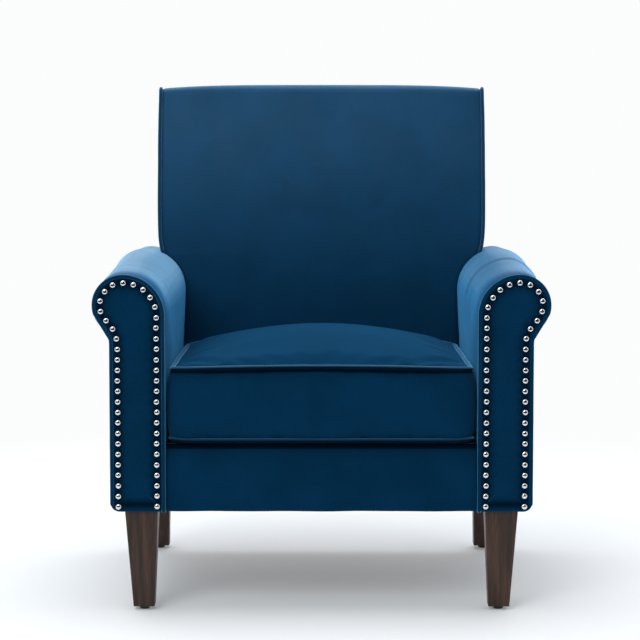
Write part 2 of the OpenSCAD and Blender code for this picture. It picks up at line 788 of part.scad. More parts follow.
module cushion_piping(k)
{
    ring = boxing_ring(k, 0);
    normals = [for (p = ring) [p[0], p[1] - middle(ring)[1], 0]];
    color(velvet_dark) on_deck() cord(ring, normals, cord_r, 8, true);
}

// ---------- the cushion's zip ----------

zip_z = 62;
zip_clear = 0.4;
slider_x0 = zip_len / 2 - 20;
tape_t = 0.8;
tape_half_w = 13;
teeth_t = 1.4;
teeth_half_w = 2.6;
teeth_inset = 4;
slider_t = 1.4;
pull_len = 24;
pull_r = 1.5;
pull_pin_y = teeth_t + 0.1 + slider_t + pull_r + 0.15;

// The frame of the zip: x along it, y out of the rear boxing, z up along the boxing
module on_zip()
{
    y = cushion_len_low + (zip_z - pipe_low_z) * tan(cushion_lean);
    on_deck() translate([0, y + zip_clear, zip_z]) rotate([-cushion_lean, 0, 0]) children();
}

module zip_tape()
{
    color(cloth_black) on_zip() union()
    {
        block([-zip_len / 2, 0, -tape_half_w], [zip_len / 2, tape_t, tape_half_w]);
        block([-zip_len / 2 + teeth_inset, tape_t - 0.1, -teeth_half_w],
            [zip_len / 2 - teeth_inset, teeth_t, teeth_half_w]);
    }
}

module zip_slider()
{
    y0 = teeth_t + 0.1;
    color(steel) on_zip() translate([slider_x0, 0, 0]) union()
    {
        block([-4.5, y0, -4.5], [4.5, y0 + slider_t, 4.5]);
        for (x = [-3, 1.8]) block([x, y0 + slider_t - 0.2, -1.2], [x + 1.2, pull_pin_y + 1.1, 1.2]);
        translate([-2.4, pull_pin_y, 0]) rotate([0, 90, 0]) cylinder(r = 0.7, h = 4.8);
    }
}

module zip_pull()
{
    color(steel) on_zip() translate([slider_x0, pull_pin_y, 0]) difference()
    {
        union()
        {
            rotate([0, 90, 0]) translate([0, 0, -1.6]) cylinder(r = pull_r, h = 3.2);
            block([-1.6, -0.6, 4 - pull_len], [1.6, 0.6, 0]);
            block([-3, -0.6, -pull_len], [3, 0.6, 12 - pull_len]);
        }
        translate([-3, 0, 0]) rotate([0, 90, 0]) cylinder(r = 0.8, h = 6);
    }
}

// ---------- back ----------

function inside_y(z) = rear_y(z) - back_t;

// Half width of the back at the arm's shoulder, which it is scribed to
scribe_gap = 0.8;
scribe = [for (i = [len(shoulder_rows) - 1 : -1 : 0])
    let (q = shoulder_rows[i],
        e = -roll_puff * rear_swell * (q[2] < 0 ? 1 + 0.4 * q[2] : 1) - scribe_gap)
    [q[0] - e * q[2], q[1] - e * q[3]]];
wing_z = scribe[len(scribe) - 2][1];
lower = [for (p = scribe) if (p[0] < back_hw - 4) p];
back_outline = concat([[lower[0][0], back_foot_z], [lower[0][0], (back_foot_z + lower[0][1]) / 2]],
    lower, [[back_hw - 3, wing_z + 6], [back_hw, wing_z + 30]]);
back_levels = concat(back_outline, [for (k = [0.25, 0.5, 0.75, 0.92])
    [back_hw, wing_z + 30 + k * (chair_h - wing_z - 30)]]);
back_cols = [-1, -0.94, -0.75, -0.45, -0.15, 0.15, 0.45, 0.75, 0.94, 1];

function top_z(x) = chair_h - corner_drop * pow(abs(x) / back_hw, 4);
// The front face swells in its middle, but not where the cushion lies against it
swell_foot_z = deck_z + boxing_h + 3;
function swell(x, z, hw) = back_crown * cos(90 * abs(x) / hw)
    * pow(sin(180 * clamp01((z - swell_foot_z) / (chair_h - swell_foot_z))), 0.7);
// Near the side edges the front face rolls back to meet the piping
edge_roll_d = 3;
function edge_roll(u) = abs(u) > 0.99 ? edge_roll_d : 0;

function front_point(u, z, hw, depth) = let (x = u * (hw - (abs(u) > 0.99 ? depth : 0)))
    [x, inside_y(z) - swell(x, z, hw) + depth + edge_roll(u), z];

function front_row(level, depth) =
    [for (u = back_cols) front_point(u, level[1], level[0], depth)];
function top_row(back_share, depth) = [for (u = back_cols)
    let (x = u * (back_hw - (abs(u) > 0.99 ? depth : 0)),
        y0 = inside_y(top_z(x) - edge_roll(u)) + depth + edge_roll(u),
        y1 = rear_y(back_top_rear_z - corner_drop) - layer_t - gap,
        y = y0 + back_share * (y1 - y0),
        z = top_z(x) - depth - edge_roll(u) - (y - y0) * tan(rake))
    [x, y, z]];

function cover_rows(depth) = concat([for (level = back_levels) front_row(level, depth)],
    [top_row(0, depth), top_row(0.5, depth), top_row(1, depth)]);

module back_cover()
{
    color(velvet) between(cover_rows(0), cover_rows(velvet_t));
}

function slab_rear_row(level, thick, depth) = [for (u = back_cols)
    let (x = u * (level[0] - (abs(u) > 0.99 ? depth : 0)), z = level[1])
    [x, rear_y(z) - thick, z]];

module back_foam()
{
    d = layer_t;
    drop = d + 3;
    top = [for (u = back_cols) let (x = u * (back_hw - (abs(u) > 0.99 ? d : 0)))
        [x, inside_y(top_z(x) - drop - edge_roll(u)) + d + edge_roll(u),
            top_z(x) - drop - edge_roll(u)]];
    rear = [for (p = top) [p[0], rear_y(p[2] - 18) - foam_rear_t, p[2] - 18]];
    color(foam) between(concat([for (level = back_levels) front_row(level, d)], [top]),
        concat([for (level = back_levels) slab_rear_row(level, foam_rear_t, d)], [rear]));
}

side_t = velvet_t;
wing_foot_z = wing_z + 8;

// A side panel of the back above the arm, outside the foam and the wing frame
module back_side(side)
{
    top = chair_h - corner_drop - edge_roll_d - velvet_t - 2.5;
    y0 = function (z) inside_y(z) + edge_roll_d + layer_t;
    y1 = function (z) rear_y(z) - layer_t - gap;
    z1 = top - (y1(top) - y0(top)) * tan(rake);
    color(velvet) handed(side) bar(back_hw - side_t, back_hw, [[y0(wing_foot_z), wing_foot_z],
        [y1(wing_foot_z), wing_foot_z], [y1(z1), z1], [y0(top), top]]);
}

module back_piping()
{
    r = back_cord_r;
    out = 2.8;
    sink = 0.5;
    top = chair_h - corner_drop - sink;
    levels = [for (k = [0, 0.1, 0.25, 0.5, 0.75, 0.9]) wing_z + 6 + k * (top - wing_z - 6)];
    front = [for (z = levels) [back_hw + out, inside_y(z) + sink, z]];
    over = [for (k = [0, 0.3, 0.65, 1]) let (y = inside_y(top) + sink + k * (back_t - 3 * r))
        [back_hw + out, y, top - (y - inside_y(top)) * tan(rake)]];
    path = concat(front, over);
    color(velvet_dark) for (side = [-1, 1]) handed(side)
        cord(path, [for (p = path) [1, 0, 0]], r);
}

module outside_back()
{
    fall = back_t * tan(rake);
    levels = function (x) [body_z, top_z(x) - fall];
    face = function (depth) [for (k = [0, 1])
        [for (u = back_cols) let (x = u * back_hw, z = levels(x)[k]) [x, rear_y(z) - depth, z]]];
    color(velvet) between(face(velvet_t), face(0));
}

// Raked timber between two levels, from depth d0 to d1 in front of the rear plane
module raked(x0, x1, z0, z1, d0, d1)
{
    bar(x0, x1, [[rear_y(z0) - d1, z0], [rear_y(z0) - d0, z0],
        [rear_y(z1) - d0, z1], [rear_y(z1) - d1, z1]]);
}

post_w = 36;
post_out_x = lower[0][0] - 6;
post_low_z = rail_z;
post_high_z = back_top_rear_z - 14;
rail_h = 50;

module back_posts()
{
    color(pine) for (side = [-1, 1]) handed(side)
        raked(post_out_x - post_w, post_out_x, post_low_z, post_high_z, layer_t, frame_front_t);
}

module back_rails()
{
    x = post_out_x - post_w - 0.05;
    color(pine) for (z = [post_low_z, deck_z + 60, post_high_z - rail_h])
        raked(-x, x, z, z + rail_h, layer_t + 8, frame_front_t);
}

// Each wing over an arm has a foot rail and an upright outside the post
module back_wing_frames()
{
    x0 = post_out_x + 0.05;
    x1 = back_hw - side_t - gap;
    color(pine) for (side = [-1, 1]) handed(side) union()
    {
        raked(x0, x1, wing_foot_z + 4, wing_foot_z + 34, layer_t, frame_front_t);
        raked(x1 - 24, x1, wing_foot_z + 34, post_high_z, layer_t, frame_front_t);
        raked(x0, x1 - 24, post_high_z - 30, post_high_z, layer_t, frame_front_t);
    }
}

web_w = 50;
web_count = 5;
web_foot_z = deck_z + 40;
module back_webbing()
{
    pitch = (post_high_z - web_w - web_foot_z) / (web_count - 1);
    levels = [for (k = [0 : web_count - 1]) web_foot_z + k * pitch];
    d = frame_front_t + gap;
    x = post_out_x - 4;
    color(cloth_black) for (z = levels) raked(-x, x, z, z + web_w, d, d + web_t);
}

leg_front(-1);  // leg_front_left
leg_front(1);  // leg_front_right
leg_rear(-1);  // leg_rear_left
leg_rear(1);  // leg_rear_right
foot_glides();
leg_hanger_bolts();
leg_tee_nuts();
seat_front_rail();
seat_rear_rail();
seat_side_rail(-1);  // seat_side_rail_left
seat_side_rail(1);  // seat_side_rail_right
seat_corner_blocks();
assembly_bolts();
sinuous_springs();
spring_clips();
deck_pad();
deck_cover();
apron_pad();
apron_cover();
dust_cover();
cushion_core();
cushion_top();
cushion_bottom();
cushion_boxing();
cushion_piping(1);  // cushion_piping_top
cushion_piping(0);  // cushion_piping_bottom
zip_tape();
zip_slider();
zip_pull();
arm_board(-1);  // arm_board_left
arm_board(1);  // arm_board_right
arm_front_pad(-1);  // arm_front_pad_left
arm_front_pad(1);  // arm_front_pad_right
arm_front(-1);  // arm_front_left
arm_front(1);  // arm_front_right
arm_piping(-1);  // arm_piping_left
arm_piping(1);  // arm_piping_right
arm_nails(-1);  // arm_nails_left
arm_nails(1);  // arm_nails_right
arm_padding(-1);  // arm_padding_left
arm_padding(1);  // arm_padding_right
arm_cover(-1);  // arm_cover_left
arm_cover(1);  // arm_cover_right
arm_frame(-1);  // arm_frame_left
arm_frame(1);  // arm_frame_right
arm_top_rail(-1);  // arm_top_rail_left
arm_top_rail(1);  // arm_top_rail_right
arm_rear_cap(-1);  // arm_rear_cap_left
arm_rear_cap(1);  // arm_rear_cap_right
back_posts();
back_rails();
back_wing_frames();
back_webbing();
back_foam();
back_cover();
back_side(-1);  // back_side_left
back_side(1);  // back_side_right
back_piping();
outside_back();
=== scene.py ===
"""Upholstered roll-arm armchair: the velvet, trim, timber and studio round its solid model.

All lengths are metres, in the frame of the solid model: front is -Y, up is +Z and the floor is Z = 0.
"""

import json
from math import atan2, cos, degrees, dist, exp, hypot, pi, radians, sin, sqrt, tan, tau
from types import SimpleNamespace

import bmesh
import bpy
from bpy.props import FloatProperty, FloatVectorProperty, IntProperty, PointerProperty
from mathutils import Matrix, Vector, kdtree, noise


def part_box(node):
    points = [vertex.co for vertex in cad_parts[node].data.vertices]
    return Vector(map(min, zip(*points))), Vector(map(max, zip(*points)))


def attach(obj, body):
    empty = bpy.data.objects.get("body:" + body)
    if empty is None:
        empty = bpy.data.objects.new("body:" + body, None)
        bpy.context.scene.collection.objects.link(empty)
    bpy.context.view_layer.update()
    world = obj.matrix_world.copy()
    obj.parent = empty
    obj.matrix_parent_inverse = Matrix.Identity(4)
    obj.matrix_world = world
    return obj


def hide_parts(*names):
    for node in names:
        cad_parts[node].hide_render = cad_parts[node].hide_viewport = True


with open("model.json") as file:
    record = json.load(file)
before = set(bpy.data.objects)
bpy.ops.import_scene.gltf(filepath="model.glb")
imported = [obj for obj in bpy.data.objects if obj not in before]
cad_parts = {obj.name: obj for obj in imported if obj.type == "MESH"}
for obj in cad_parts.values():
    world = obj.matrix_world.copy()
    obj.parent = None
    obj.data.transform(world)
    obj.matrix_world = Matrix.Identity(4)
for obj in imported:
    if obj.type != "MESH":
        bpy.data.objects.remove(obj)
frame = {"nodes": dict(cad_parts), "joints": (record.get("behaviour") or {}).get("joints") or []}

bl_info = {
    "name": "Roll-arm armchair",
    "version": (1, 0, 0),
    "blender": (4, 5, 0),
    "location": "3D View > Sidebar > Armchair",
    "description": "Dresses the solid model of an upholstered armchair and sets up its studio",
    "category": "Object",
}

MM = 0.001
SIDES = {"left": -1, "right": 1}
TURNED_IN = 20 * MM  # cloth turned in at two opposite edges of a sheet, both together


# ---------- the chair's leading sizes, read from its solids ----------

def measure_chair():
    """Sizes and places that the covers have to meet."""
    c = SimpleNamespace()
    welt_low, welt_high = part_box("arm_piping_right")
    c.arm_in, c.roll_out, c.arm_top, c.face = welt_low.x, welt_high.x, welt_high.z, welt_low.y
    c.welt_r = (welt_high.y - welt_low.y) / 2
    sleeve_low, sleeve_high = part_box("arm_cover_right")
    c.foot = sleeve_low.z
    c.roll_swell = sleeve_high.x - welt_high.x
    apron_low, apron_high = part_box("apron_cover")
    c.cloth = apron_high.y - apron_low.y
    c.apron, c.apron_half = apron_low.y, apron_high.x
    rear_low, rear_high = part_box("outside_back")
    c.back_half = rear_high.x
    c.rear_y, c.rear_z = rear_high.y, rear_high.z
    c.rake = atan2(rear_high.y - rear_low.y - c.cloth, rear_high.z - rear_low.z)
    c.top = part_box("back_cover")[1].z
    c.back_t = (c.top - c.rear_z) / tan(c.rake)
    c.thick = c.back_t * cos(c.rake)
    slide = next(j for j in frame["joints"] if j["name"] == "cushion_slide")["axis"]
    c.fall = atan2(slide[2], -slide[1])
    gap = 0.3 * MM
    c.deck_z = apron_high.z + gap
    low_cord, top_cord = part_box("cushion_piping_bottom"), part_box("cushion_piping_top")
    c.cushion_y = low_cord[0].y
    c.cushion_half = top_cord[1].x
    c.cushion_low_len = (low_cord[1].y - c.cushion_y) / cos(c.fall)
    c.cushion_top_len = (top_cord[1].y - c.cushion_y) / cos(c.fall)
    return c


chair = measure_chair()


def rear_plane(z):
    """Y of the chair's raked rear plane at height z."""
    return chair.rear_y - (chair.rear_z - z) * tan(chair.rake)


def back_face(z):
    """Y of the flat of the back's front face at height z."""
    return rear_plane(z) - chair.back_t


def on_deck(x, y, z):
    """A point given on the falling seat deck: y from the cushion's front, z up from the deck."""
    s, c = sin(chair.fall), cos(chair.fall)
    return Vector((x, chair.cushion_y + y * c + z * s, chair.deck_z - y * s + z * c))


# ---------- sizes and colours that a user would change ----------

def length(name, description, default, **more):
    return FloatProperty(name=name, description=description, default=default, unit="LENGTH", **more)


def hex_to_linear(code):
    """A colour written as sRGB hex, as the linear values that shaders use."""
    values = [int(code[i:i + 2], 16) / 255 for i in (1, 3, 5)]
    return tuple(v / 12.92 if v <= 0.04045 else ((v + 0.055) / 1.055) ** 2.4 for v in values)


def dye(name, description, code):
    return FloatVectorProperty(name=name, description=description, subtype="COLOR", size=3,
                               min=0, max=1, default=hex_to_linear(code))


class ArmSizes(bpy.types.PropertyGroup):
    """The rolled arms and their trim."""

    scroll_radius: length("Scroll radius", "Radius of the outer scroll of an arm front", 51 * MM)
    shoulder_radius: length("Shoulder radius", "Radius of an arm front's inner shoulder", 68.5 * MM)
    scroll_out: length("Scroll overhang", "How far the scroll hangs out over the arm", 28 * MM)
    neck_radius: length("Neck radius", "Radius of the fillet under the scroll", 35 * MM)
    corner_radius: length("Corner radius", "Radius of the outer bottom corner", 15 * MM)
    swell_from: length("Swell starts", "Height at which the padded roll starts to swell", 380 * MM)
    swell_full: length("Swell is full", "Height from which the roll's swell is full", 480 * MM)
    swell_peak: FloatProperty(name="Fullest", description="Share of the arm's length with the fullest roll",
                              default=0.56)
    rear_swell: FloatProperty(name="Rear swell", description="Part of the swell that is left there",
                              default=0.5)
    nail_count: IntProperty(name="Nails", description="Nails round each arm front", default=47)
    nail_inset: length("Nail inset", "Inset of the nail row from the arm's edge", 14 * MM)
    nail_diameter: length("Nail diameter", "Diameter of a nail's head", 9.5 * MM)
    nail_dome: length("Nail dome", "Height of a nail's dome", 2.6 * MM)
    dimple: length("Nail dimple", "How far each nail pulls the velvet in", 1.5 * MM)


class CushionSizes(bpy.types.PropertyGroup):
    """The loose seat cushion."""

    cord_radius: length("Piping radius", "Radius of the cushion's piping", 4 * MM)
    boxing: length("Boxing height", "Height between the two pipings", 117 * MM)
    corner_radius: length("Corner radius", "Radius of the corners seen from above", 20 * MM)
    crown_front: length("Front crown", "Crown over the piping at the front edge", 3 * MM)
    crown_middle: length("Middle crown", "Crown over the piping in the middle", 42 * MM)
    crown_rear: length("Rear crown", "Crown over the piping at the rear edge", 33 * MM)
    bulge: length("Side bulge", "Outward bulge of the boxing at half height", 8 * MM)
    seam_pull: length("Seam pull", "How far the seams draw the boxing in under the piping", 2.5 * MM)
    pressure: FloatProperty(name="Filling pressure", description="Pressure that fills the cover",
                            default=4)
    swell_limit: length("Swell limit", "The most that the filling may move the cover", 6 * MM)


class BackSizes(bpy.types.PropertyGroup):
    """The tight raked back."""

    crown: length("Crown", "Swell of the front face in its middle", 10 * MM)
    edge_roll: length("Edge roll", "Radius at which the padding rolls back to the piping", 9 * MM)
    top_roll: length("Top roll", "Radius of the padded top edge", 11 * MM)
    corner_drop: length("Corner drop", "How far the top corners lie below the middle", 7 * MM)
    cord_radius: length("Piping radius", "Radius of the back's piping", 3.5 * MM)


class ArmchairColours(bpy.types.PropertyGroup):
    """Dyes and finishes."""

    pile: dye("Velvet", "Velvet seen straight down the pile", "#042a45")
    pile_shaded: dye("Velvet, brushed down", "Velvet where the pile lies the other way", "#03263e")
    pile_sheen: dye("Velvet sheen", "Velvet's bloom at grazing angles", "#56b4f8")
    # paler sheen tint given to the brightest levels of painted sheen: a painted highlight
    pile_painted_highlight: dye("Pile bloom", "Bloom of the pile where it stands raised", "#a4d8fb")
    pile_gloss: dye("Velvet gloss", "Light that skims over the tips of the pile", "#8ccbff")
    walnut: dye("Walnut stain", "Light grain of the stained legs", "#452c20")
    walnut_dark: dye("Walnut pores", "Dark grain of the stained legs", "#26180f")
    chrome: dye("Chrome", "Plated nail heads", "#dfe2e6")
    floor: dye("Floor", "Studio floor", "#f1f4f6")


class ArmchairSettings(bpy.types.PropertyGroup):
    """Everything that the panel shows."""

    arms: PointerProperty(type=ArmSizes)
    cushion: PointerProperty(type=CushionSizes)
    back: PointerProperty(type=BackSizes)
    colours: PointerProperty(type=ArmchairColours)


def settings():
    return bpy.context.scene.armchair


# ---------- small geometry tools ----------

def clamp01(v):
    return min(1.0, max(0.0, v))


def ease(v):
    """0 to 1 with a soft start and end."""
    v = clamp01(v)
    return v * v * (3 - 2 * v)


def bell(v, width):
    return exp(-(v / width) ** 2)


def uneven(seed, *at):
    """Smooth unevenness from -1 to 1, with features about one unit of at across."""
    return noise.noise(Vector((*at, 0.0, 0.0)[:3]) + Vector((17.3, 5.1, 9.7)) * seed)


def steps(start, end, pitch):
    """Even values from start to end, about pitch apart."""
    count = max(1, round(abs(end - start) / pitch))
    return [start + (end - start) * i / count for i in range(count + 1)]


def grid_faces(rows, cols, wrap=False):
    """Quads over rows of points; wrap joins each row's last point to its first."""
    last = cols if wrap else cols - 1
    return [(r * cols + c, r * cols + (c + 1) % cols, (r + 1) * cols + (c + 1) % cols, (r + 1) * cols + c)
            for r in range(rows - 1) for c in range(last)]


def rows_of(rows, columns, place):
    """Rows of points: place(r, c) for each c in columns, for each r in rows."""
    return [[place(r, c) for c in columns] for r in rows]


def add_object(name, data):
    thing = bpy.data.objects.new(name, data)
    bpy.context.scene.collection.objects.link(thing)
    return thing


def make_piece(name, points, faces, material, body="chair", facing=None):
    """A smooth mesh object that rides on a body; facing is a way that an open sheet looks."""
    mesh = bpy.data.meshes.new(name)
    mesh.from_pydata([tuple(p) for p in points], [], faces)
    shell = bmesh.new()
    shell.from_mesh(mesh)
    bmesh.ops.remove_doubles(shell, verts=shell.verts, dist=0.02 * MM)
    bmesh.ops.recalc_face_normals(shell, faces=shell.faces)
    if facing is not None:
        total = sum((f.normal * f.calc_area() for f in shell.faces), Vector())
        if total.dot(Vector(facing)) < 0:
            bmesh.ops.reverse_faces(shell, faces=shell.faces)
    shell.to_mesh(mesh)
    shell.free()
    mesh.polygons.foreach_set("use_smooth", [True] * len(mesh.polygons))
    mesh.materials.append(material)
    piece = add_object(name, mesh)
    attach(piece, body)
    return piece


def make_sheet(name, rows, material, body="chair", facing=None, wrap=False):
    faces = grid_faces(len(rows), len(rows[0]), wrap)
    return make_piece(name, [p for row in rows for p in row], faces, material, body, facing)


def make_cord(name, path, radius, material, body="chair", closed=False, seed=1):
    """Piping: a fabric-covered cord along a path, a little uneven as sewn cord is."""
    around, count = 10, len(path)
    normal = Vector((0.3, 0.5, 0.8))
    rows = []
    for i, at in enumerate(path):
        after = path[(i + 1) % count] if closed else path[min(i + 1, count - 1)]
        before = path[i - 1] if closed else path[max(i - 1, 0)]
        tangent = (after - before).normalized()
        normal = (normal - tangent * normal.dot(tangent)).normalized()
        across = tangent.cross(normal)
        r = radius * (1 + 0.04 * uneven(seed, i * 0.21))
        rows.append([at + (normal * cos(q) + across * sin(q)) * r
                     for q in (tau * k / around for k in range(around))])
    if closed:
        rows.append(rows[0])
    else:
        rows = [[path[0]] * around] + rows + [[path[-1]] * around]
    return make_sheet(name, rows, material, body, wrap=True)


def mark_crush_and_shade(piece, amount):
    """Records how dark each point of a velvet piece is painted, from 0 to 1: painted shade, and crushed pile
    by the nails.
    """
    layer = piece.data.attributes.new("crush_and_shade", "FLOAT", "POINT")
    layer.data.foreach_set("value", [clamp01(amount(v)) for v in piece.data.vertices])


# ---------- materials ----------

def add_node(tree, kind, values=(), links=()):
    """Adds a node, sets its attributes and unlinked inputs, and links the inputs that are fed.

    An input is fed by a socket, or by a node, which means that node's first output.
    """
    node = tree.nodes.new("ShaderNode" + kind)
    for key, value in dict(values).items():
        if isinstance(key, str) and hasattr(node, key):
            setattr(node, key, value)
        else:
            node.inputs[key].default_value = value
    for key, source in dict(links).items():
        if isinstance(source, bpy.types.Node):
            source = source.outputs[0]
        tree.links.new(source, node.inputs[key])
    return node


def opaque(colour):
    return (*colour, 1.0)


def new_material(name):
    """An empty material; returns it, its node tree and its object coordinates."""
    material = bpy.data.materials.new(name)
    material.use_nodes = True
    tree = material.node_tree
    tree.nodes.clear()
    return material, tree, add_node(tree, "TexCoord").outputs["Object"]


def surface(tree, values, links, *reliefs):
    """A Principled shader; each relief is a height with its strength and depth, the finest first."""
    for height, strength, depth in reliefs:
        under = {"Normal": links["Normal"]} if "Normal" in links else {}
        relief = add_node(tree, "Bump", {"Strength": strength, "Distance": depth},
                          {"Height": height, **under})
        links = {**links, "Normal": relief}
    return add_node(tree, "BsdfPrincipled", values, links)


def finish_material(material, *of_surface):
    tree = material.node_tree
    add_node(tree, "OutputMaterial", {}, {"Surface": surface(tree, *of_surface)})
    return material


def speckle(tree, place, size, detail=2.0, stretch=(1, 1, 1)):
    """Noise whose features are size metres across; stretch lengthens them along an axis."""
    scaled = add_node(tree, "Mapping", {"Scale": tuple(1 / s for s in stretch)}, {"Vector": place})
    return add_node(tree, "TexNoise", {"Scale": 1 / size, "Detail": detail}, {"Vector": scaled})


def blend_colours(tree, factor, dark, light, low=0.35, high=0.65):
    """Colour from dark to light, linear or hex, as the factor goes from low to high."""
    dark, light = (opaque(hex_to_linear(c) if isinstance(c, str) else c) for c in (dark, light))
    share = add_node(tree, "MapRange", {"From Min": low, "From Max": high}, {"Value": factor})
    return add_node(tree, "Mix", {"data_type": "RGBA", 6: dark, 7: light}, {0: share}).outputs[2]


def woven_velvet(name, shade, sheen, gloss, skim, bloom):
    """Cotton velvet, woven with a dense cut pile and brushed.

    The pile is nearly black seen end on and blooms pale at grazing angles, with broad
    lighter and darker marks where it was stroked and a fine fleck from single tufts.
    The mesh attribute "crush_and_shade" darkens the dye where it is set: painted shade, and crushed pile by
    the nails.
    Shade scales the dye, bloom pales the sheen, and skim is the least roughness.
    """
    material, tree, place = new_material(name)
    dyes = settings().colours
    dark, light = ([v * shade for v in tone] for tone in (dyes.pile_shaded, dyes.pile))
    strokes = speckle(tree, place, 85 * MM, 3.0)
    base = blend_colours(tree, strokes, dark, light, 0.36, 0.62)
    # tufts are about 0.3 mm; they are drawn 1.6 mm across, so that they show
    tufts = speckle(tree, place, 1.6 * MM)
    fleck = add_node(tree, "MapRange", {"From Min": 0.3, "From Max": 0.7, "To Min": 0.84, "To Max": 1.14},
                     {"Value": tufts})
    crush_and_shade = add_node(tree, "Attribute", {"attribute_name": "crush_and_shade"}).outputs["Fac"]
    # painted shade: the dye is darkened by up to 0.92 of itself where crush_and_shade is set
    left_unshaded = add_node(tree, "Math", {"operation": "MULTIPLY_ADD", 1: -0.92, 2: 1.0}, {0: crush_and_shade})
    fleck_and_shade = add_node(tree, "Math", {"operation": "MULTIPLY"}, {0: fleck, 1: left_unshaded})
    flecked = add_node(tree, "VectorMath", {"operation": "SCALE"}, {0: base, "Scale": fleck_and_shade})
    rough = add_node(tree, "MapRange", {"To Min": skim, "To Max": skim + 0.12}, {"Value": strokes})
    # the brightest levels take a paler sheen tint: a painted highlight
    tint = [low + (high - low) * bloom for low, high in zip(dyes.pile_sheen, dyes.pile_painted_highlight)]
    return finish_material(material, {
        "Specular IOR Level": gloss, "Specular Tint": opaque(dyes.pile_gloss),
        "Sheen Weight": sheen, "Sheen Roughness": 0.5, "Sheen Tint": opaque(tint),
    }, {"Base Color": flecked, "Roughness": rough},
        (tufts, 0.35, 0.4 * MM), (speckle(tree, place, 38 * MM), 0.5, 1.2 * MM))


def stained_walnut(name):
    """Walnut, planed, stained dark and sprayed with satin lacquer: long grain under a soft gloss."""
    material, tree, place = new_material(name)
    dyes = settings().colours
    bands = speckle(tree, place, 9 * MM, 4.0, (1, 1, 16))
    pores = speckle(tree, place, 1.3 * MM, 2.0, (1, 1, 22))
    grain = blend_colours(tree, bands, dyes.walnut_dark, dyes.walnut, 0.38, 0.64)
    filled = add_node(tree, "MapRange", {"From Min": 0.35, "From Max": 0.6, "To Min": 0.72, "To Max": 1.06},
                      {"Value": pores})
    wood = add_node(tree, "VectorMath", {"operation": "SCALE"}, {0: grain, "Scale": filled})
    return finish_material(material, {
        "IOR": 1.4, "Coat Weight": 0.08, "Coat Roughness": 0.22, "Roughness": 0.46,
    }, {"Base Color": wood}, (pores, 0.12, 0.3 * MM))


def plated_chrome(name):
    """Pressed steel nail heads, chrome plated and polished: a sharp mirror with faint handling marks."""
    material, tree, place = new_material(name)
    marks = speckle(tree, place, 2.5 * MM, 3.0)
    rough = add_node(tree, "MapRange", {"To Min": 0.06, "To Max": 0.2}, {"Value": marks})
    return finish_material(material, {"Metallic": 1.0, "Base Color": opaque(settings().colours.chrome)},
                           {"Roughness": rough})


def drawn_steel(name):
    """Steel wire and pressings, drawn and zinc plated: grey with a spangled, streaky gloss."""
    material, tree, place = new_material(name)
    spangle = speckle(tree, place, 5 * MM, 3.0)
    tone = blend_colours(tree, spangle, "#85888c", "#b6babd")
    rough = add_node(tree, "MapRange", {"To Min": 0.28, "To Max": 0.5}, {"Value": spangle})
    return finish_material(material, {"Metallic": 1.0}, {"Base Color": tone, "Roughness": rough})


def sawn_timber(name, dark, light, along):
    """Softwood or plywood, sawn and left bare: grain along one axis and a dry, furry face."""
    material, tree, place = new_material(name)
    stretch = [14 if axis == along else 1 for axis in "XYZ"]
    rings = speckle(tree, place, 7 * MM, 3.0, stretch)
    fur = speckle(tree, place, 0.9 * MM, 2.0, stretch)
    return finish_material(material, {"Roughness": 0.8, "IOR": 1.5},
                           {"Base Color": blend_colours(tree, rings, dark, light)}, (fur, 0.3, 0.3 * MM))


def spun_cloth(name, dark, light, thread):
    """Spun or woven polypropylene cloth: matt, with a crossed thread pattern."""
    material, tree, place = new_material(name)
    weave = [add_node(tree, "TexWave", {"bands_direction": axis, "Scale": 0.16 / thread, "Distortion": 0.4},
                      {"Vector": place}).outputs["Fac"] for axis in "XYZ"]
    crossed = add_node(tree, "Math", {"operation": "MULTIPLY"}, {0: weave[0], 1: weave[1]})
    lifted = add_node(tree, "Math", {"operation": "ADD"}, {0: crossed, 1: weave[2]})
    return finish_material(material, {"Roughness": 0.9, "Sheen Weight": 0.15, "Specular IOR Level": 0.2},
                           {"Base Color": blend_colours(tree, lifted, dark, light, 0.2, 1.4)},
                           (lifted, 0.4, 0.2 * MM))


def moulded_plastic(name):
    """Glides of black polypropylene, moulded: a fine spark-eroded grain and a dull shine."""
    material, tree, place = new_material(name)
    grain = speckle(tree, place, 0.8 * MM)
    return finish_material(material, {"Roughness": 0.48, "IOR": 1.49},
                           {"Base Color": blend_colours(tree, grain, "#0f0f10", "#1c1c1e")},
                           (grain, 0.2, 0.15 * MM))


def get_material(make, name, *values, **named):
    """The material of that name, made the first time that it is asked for."""
    return bpy.data.materials.get(name) or make(name, *values, **named)


SHEEN_LEVELS = 24  # levels of painted sheen that the velvet is made in, from dull to bright
LEAST_SHEEN, SHEEN_GAIN = 0.26, 3.85  # sheen of the dullest level, and how many times more the brightest has


def velvet(painted_sheen=1.0, shade=1.0):
    """The velvet from its dullest (0) to its brightest (1) level of painted sheen; the brightest are paler.

    The levels are lit and shaded copies of one velvet: painted sheen and painted shade. A shade over 1 is
    painted light too: a lighter dye, used on the back.
    """
    name = "velvet_woven_%02d" % round(painted_sheen * SHEEN_LEVELS) + ("_stroked" if shade > 1 else "")
    return get_material(woven_velvet, name, shade=shade, sheen=LEAST_SHEEN * SHEEN_GAIN ** painted_sheen,
                        gloss=0.3 * painted_sheen, skim=0.6 - 0.2 * painted_sheen,
                        bloom=0.75 * clamp01((painted_sheen - 0.7) / 0.3))


# a copy of the velvet with full sheen for the cords: a painted highlight along each cord
def piping_velvet():
    return get_material(woven_velvet, "velvet_bias_piping",
                        shade=0.8, sheen=1.0, gloss=0.2, skim=0.5, bloom=0.3)


